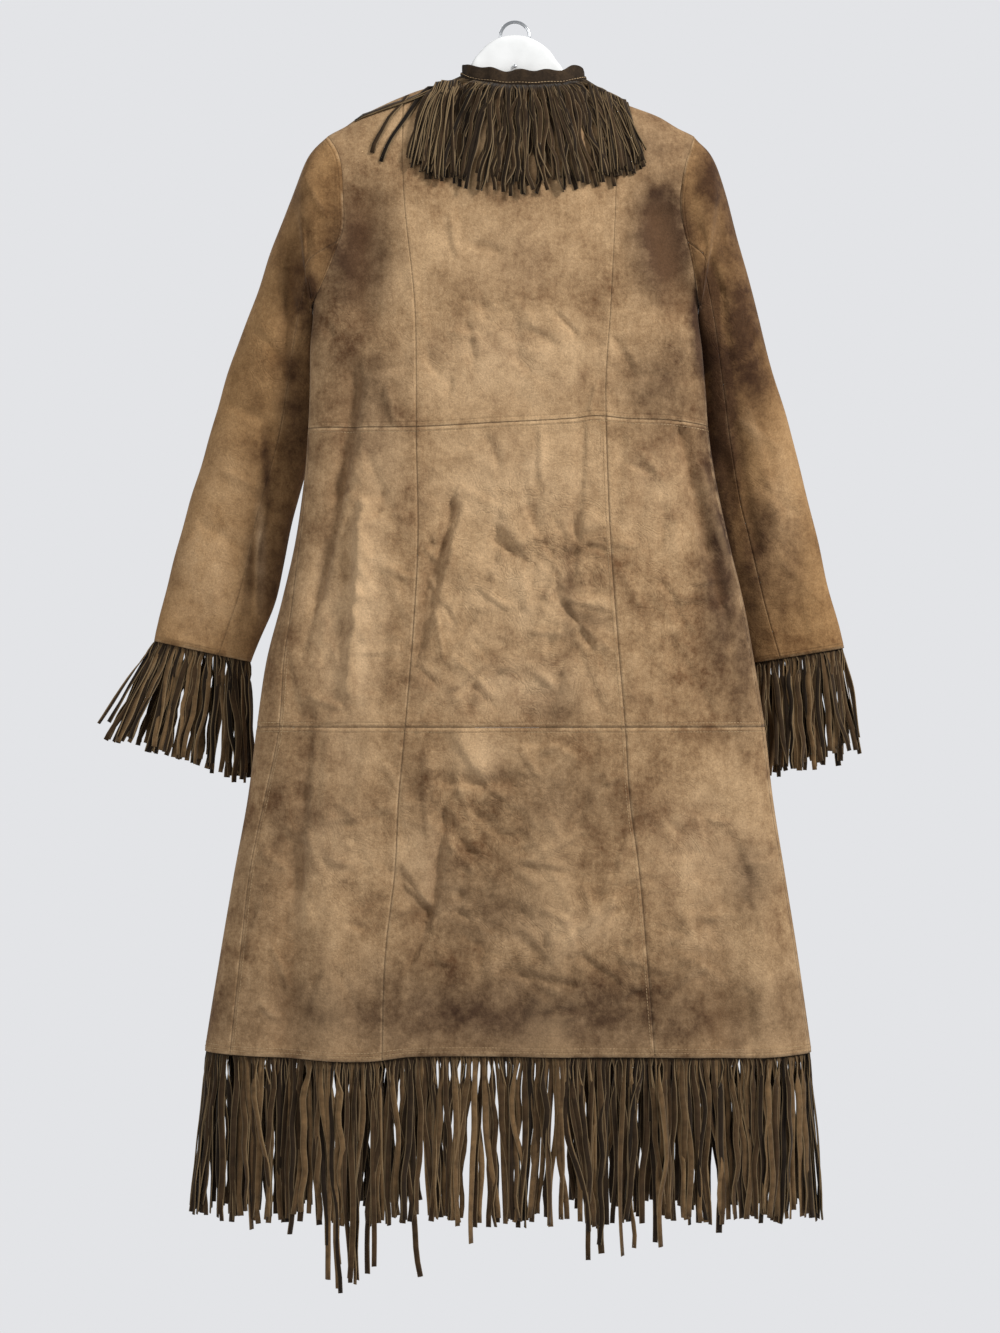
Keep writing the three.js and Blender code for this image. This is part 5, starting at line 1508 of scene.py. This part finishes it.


# %% [markdown]
# ## Wear and painted light that belong to a place
# Some tones depend on where they are: dark handling marks under the arms and
# down the sides, with painted shade under the arms, beside the sleeves and in
# the creases, and a pale brushed yoke, with painted highlight on lit ridges.
# Each is a soft oval patch in the coat's own millimetres, held in a point
# attribute that the suede reads.

# %% Stains and brushed patches, with painted shade and painted highlight
PATCH = "x z wide tall amount"
# Stains and painted shade: handling marks, and painted shade under the arms, in the gaps beside the sleeves,
# down the inner sleeves and in the creases, and darker towards the hem.
STAINS_AND_SHADE = table(PATCH, """
    -178 -262 38 68 1.2
    165 -243 36 68 1.55
    -160 -420 40 60 0.6
    160 -410 46 50 0.7
    212 -168 30 60 0.9
    214 -335 18 64 2.2
    252 -700 24 110 0.8
    -232 -860 14 100 0.5
    -285 -975 30 80 0.4
    150 -140 60 44 0.5
    90 -150 40 30 0.3
    -186 -370 40 50 0.4
    178 -380 40 50 0.5
    -170 -425 20 50 0.3
    180 -420 30 60 0.3
    -208 -580 12 70 0.35
    230 -600 24 130 1.25
    250 -720 16 120 0.5
    45 -765 26 28 0.45
    50 -868 80 44 0.55
    0 -935 110 34 0.3
    -38 -985 90 60 0.6
    -220 -860 70 90 0.2
    -110 -850 30 60 0.35
    0 -1100 330 60 0.95
    -60 -1030 70 40 0.4
    40 -1030 60 40 0.4
    210 -1070 80 60 0.35
    -262 -880 16 110 0.4
    190 -1040 60 50 0.35
    -110 -690 16 60 0.35
    -236 -215 22 60 0.5
    -240 -300 26 80 1.0
    -286 -520 26 110 0.35
    -290 -400 22 70 0.4
    -250 -425 22 130 0.9
    -262 -560 26 110 0.6
    -276 -610 18 90 0.9
    220 -180 28 66 1.15
    240 -225 28 90 0.95
    258 -352 35 116 1.25
    234 -440 30 150 1.35
    280 -370 34 90 0.5
    270 -600 26 90 1.0
    300 -620 50 70 0.45
    -228 -296 13 20 1.4
    -279 -500 8 60 1.0
    -298 -600 8 50 0.8
    261 -951 22 44 0.8
    246 -1118 22 46 0.7
    60 -640 9 60 0.5
    82 -668 20 14 0.5
""")
# Brushed nap and painted highlight: pale patches on the brushed yoke and down the back, and on ridges and
# sides that face the light.
BRUSHED_AND_LIT = table(PATCH, """
    0 -270 80 60 0.3
    -5 -385 90 50 0.8
    5 -515 90 60 0.8
    5 -640 70 60 0.6
    0 -740 90 34 0.7
    -160 -640 20 90 1.0
    -150 -500 40 60 0.4
    -196 -700 30 70 0.7
    -186 -790 26 60 0.5
    150 -530 40 60 0.45
    -38 -815 30 26 0.75
    215 -925 60 60 0.7
    -203 -915 50 60 0.4
    -168 -660 13 110 1.2
    -287 -590 6 60 0.8
    66 -1005 50 16 0.7
    -100 -930 30 40 0.5
    -80 -118 60 26 0.25
    140 -140 40 30 0.25
    302 -540 26 90 0.35
    -350 -610 50 80 0.5
    -330 -520 40 60 0.3
""")
CREASED = table(PATCH, """
    20 -590 120 130 1.0
    10 -745 130 70 0.9
    -40 -880 120 90 0.9
    70 -1010 190 110 0.8
    -210 -960 110 150 0.6
    210 -950 110 150 0.7
    -175 -620 60 130 0.5
    170 -600 70 130 0.7
    -40 -370 150 70 0.5
    175 -370 50 60 0.8
    -195 -340 40 50 0.8
    -270 -350 60 90 0.8
    255 -350 60 90 0.8
    -330 -560 60 140 0.4
    310 -560 60 140 0.5
""")


def patch_amount(patches, x, z):
    """Largest of the soft ovals at each point."""
    total = np.zeros_like(x)
    for px, pz, wide, tall, amount in zip(*patches.values()):
        oval = amount * np.exp(-(((x - px) / wide) ** 2) - ((z - pz) / tall) ** 2)
        total = np.maximum(total, oval)
    return total


def mark_patches(piece):
    """Writes the stain and painted shade, the brushing and painted highlight, and the crumple attributes of
    one suede piece.
    """
    x, _, z = points_of(piece.data).T
    tables = {"stain": STAINS_AND_SHADE, "glow": BRUSHED_AND_LIT, "crumple": CREASED}
    write_marks(piece.data, {key: patch_amount(patches, x, z) for key, patches in tables.items()})


print("stains, glows and creased places:", [len(t["amount"]) for t in (STAINS_AND_SHADE, BRUSHED_AND_LIT, CREASED)])


# %% [markdown]
# ## Fitting the pieces to the frame
# Each piece replaces its plain solid and rides on the one body, and its
# flat size is measured on the surface.

# %% Fitting
def fit(piece, node, slot, material):
    """Puts a piece in place of its node and gives it its finish."""
    piece.data.materials.append(material)
    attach(piece, "root")
    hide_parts(node)


ALLOWANCE = 1.02  # for the seams
for panel, (piece, (wide, long)) in suede_pieces.items():
    mark_patches(piece)
    look = ("suede_sleeve", sleeve_suede) if panel.startswith("sleeve") else ("suede", tan_suede)
    fit(piece, panel, *look)
    area = sum(face.area for face in piece.data.polygons) / 2
    stem_name, tier = panel.rsplit("_", 1)
    size = (wide * ALLOWANCE, long * ALLOWANCE)
    area = min(area, size[0] * size[1])

mark_patches(collar)
fit(collar, "collar", "suede_dark", dark_suede)
fringe_nodes = {
    "hem_fringe_back": hem_back,
    "hem_fringe_front_left": hem_left,
    "hem_fringe_front_right": hem_right,
    "cuff_fringe_left": cuff_left,
    "cuff_fringe_right": cuff_right,
    "collar_fringe": fringe_collar,
}
for node, piece in fringe_nodes.items():
    fit(piece, node, "fringe", fringe_look)
stitching.data.materials.append(thread_look)
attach(stitching, "root")
fit(hanger, "hanger", "hanger_plastic", white_abs)
fit(hook, "hook", "hook_steel", wire_look)
fit(rivet, "rivet", "hook_steel", wire_look)
print("sheets declared:", len(suede_pieces) + 1)


# %% [markdown]
# ## Stage, light and camera
# A plain pale floor far below, a pale surround, one broad soft light from the
# upper right, a weak fill from the left and another on the far side. The
# camera looks straight at the back.

# %% Stage
FLOOR, FLOOR_HALF = -1.75, 1.1
mesh = bpy.data.meshes.new("floor")
corners = [(x * FLOOR_HALF, y * FLOOR_HALF, FLOOR) for x, y in ((-1, -1), (1, -1), (1, 1), (-1, 1))]
mesh.from_pydata(corners, [], [(0, 1, 2, 3)])
floor = bpy.data.objects.new("floor", mesh)
bpy.context.collection.objects.link(floor)
paper, paper_tree = new_material("pale_paper")
paper_shader = add(paper_tree, PRINCIPLED, {"Base Color": linear("#dcdde0"), "Roughness": 0.9})[0]
add(paper_tree, OUTPUT, {"Surface": paper_shader})
floor.data.materials.append(paper)

world = bpy.data.worlds.new("studio")
world.use_nodes = True
sky = world.node_tree
sky.nodes.clear()
around = add(sky, "ShaderNodeBackground", {"Color": linear("#e8ebf0"), "Strength": 0.42})[0]
behind = add(sky, "ShaderNodeBackground", {"Color": linear("#e3e4e7"), "Strength": 1.0})[0]
seen = add(sky, "ShaderNodeLightPath", {})["Is Camera Ray"]
both_skies = add(sky, "ShaderNodeMixShader", {0: seen, 1: around, 2: behind})[0]
add(sky, "ShaderNodeOutputWorld", {"Surface": both_skies})
bpy.context.scene.world = world


def soft_light(name, place, aim, size, watts):
    """Square area light at a place, aimed at a point, in metres."""
    light = bpy.data.lights.new(name, "AREA")
    light.shape, light.size, light.energy = "SQUARE", size, watts
    lamp = bpy.data.objects.new(name, light)
    bpy.context.collection.objects.link(lamp)
    lamp.location = place
    lamp.rotation_euler = (Vector(aim) - Vector(place)).to_track_quat("-Z", "Y").to_euler()
    return lamp


soft_light("key", (2.3, -1.45, 1.35), (0, 0, -0.65), 0.7, 118)
soft_light("fill", (-1.7, -2.3, 0.1), (0, 0, -0.65), 1.6, 27)
soft_light("rear", (-0.6, 2.4, 0.6), (0, 0, -0.6), 1.8, 30)

VIEW_X, VIEW_Z, VIEW_HEIGHT, LENS = -16.5, -718.0, 1466.0, 70.0
camera_data = bpy.data.cameras.new("camera")
camera_data.lens = LENS
distance = LENS * (VIEW_HEIGHT / 2) / 18
camera = bpy.data.objects.new("camera", camera_data)
bpy.context.collection.objects.link(camera)
camera.location = (VIEW_X * MM, (-45 - distance) * MM, VIEW_Z * MM)
camera.rotation_euler = (np.pi / 2, 0, 0)
bpy.context.scene.camera = camera
bpy.context.scene.view_settings.view_transform = "Standard"
print("camera stands back, in metres:", round(distance * MM, 2))
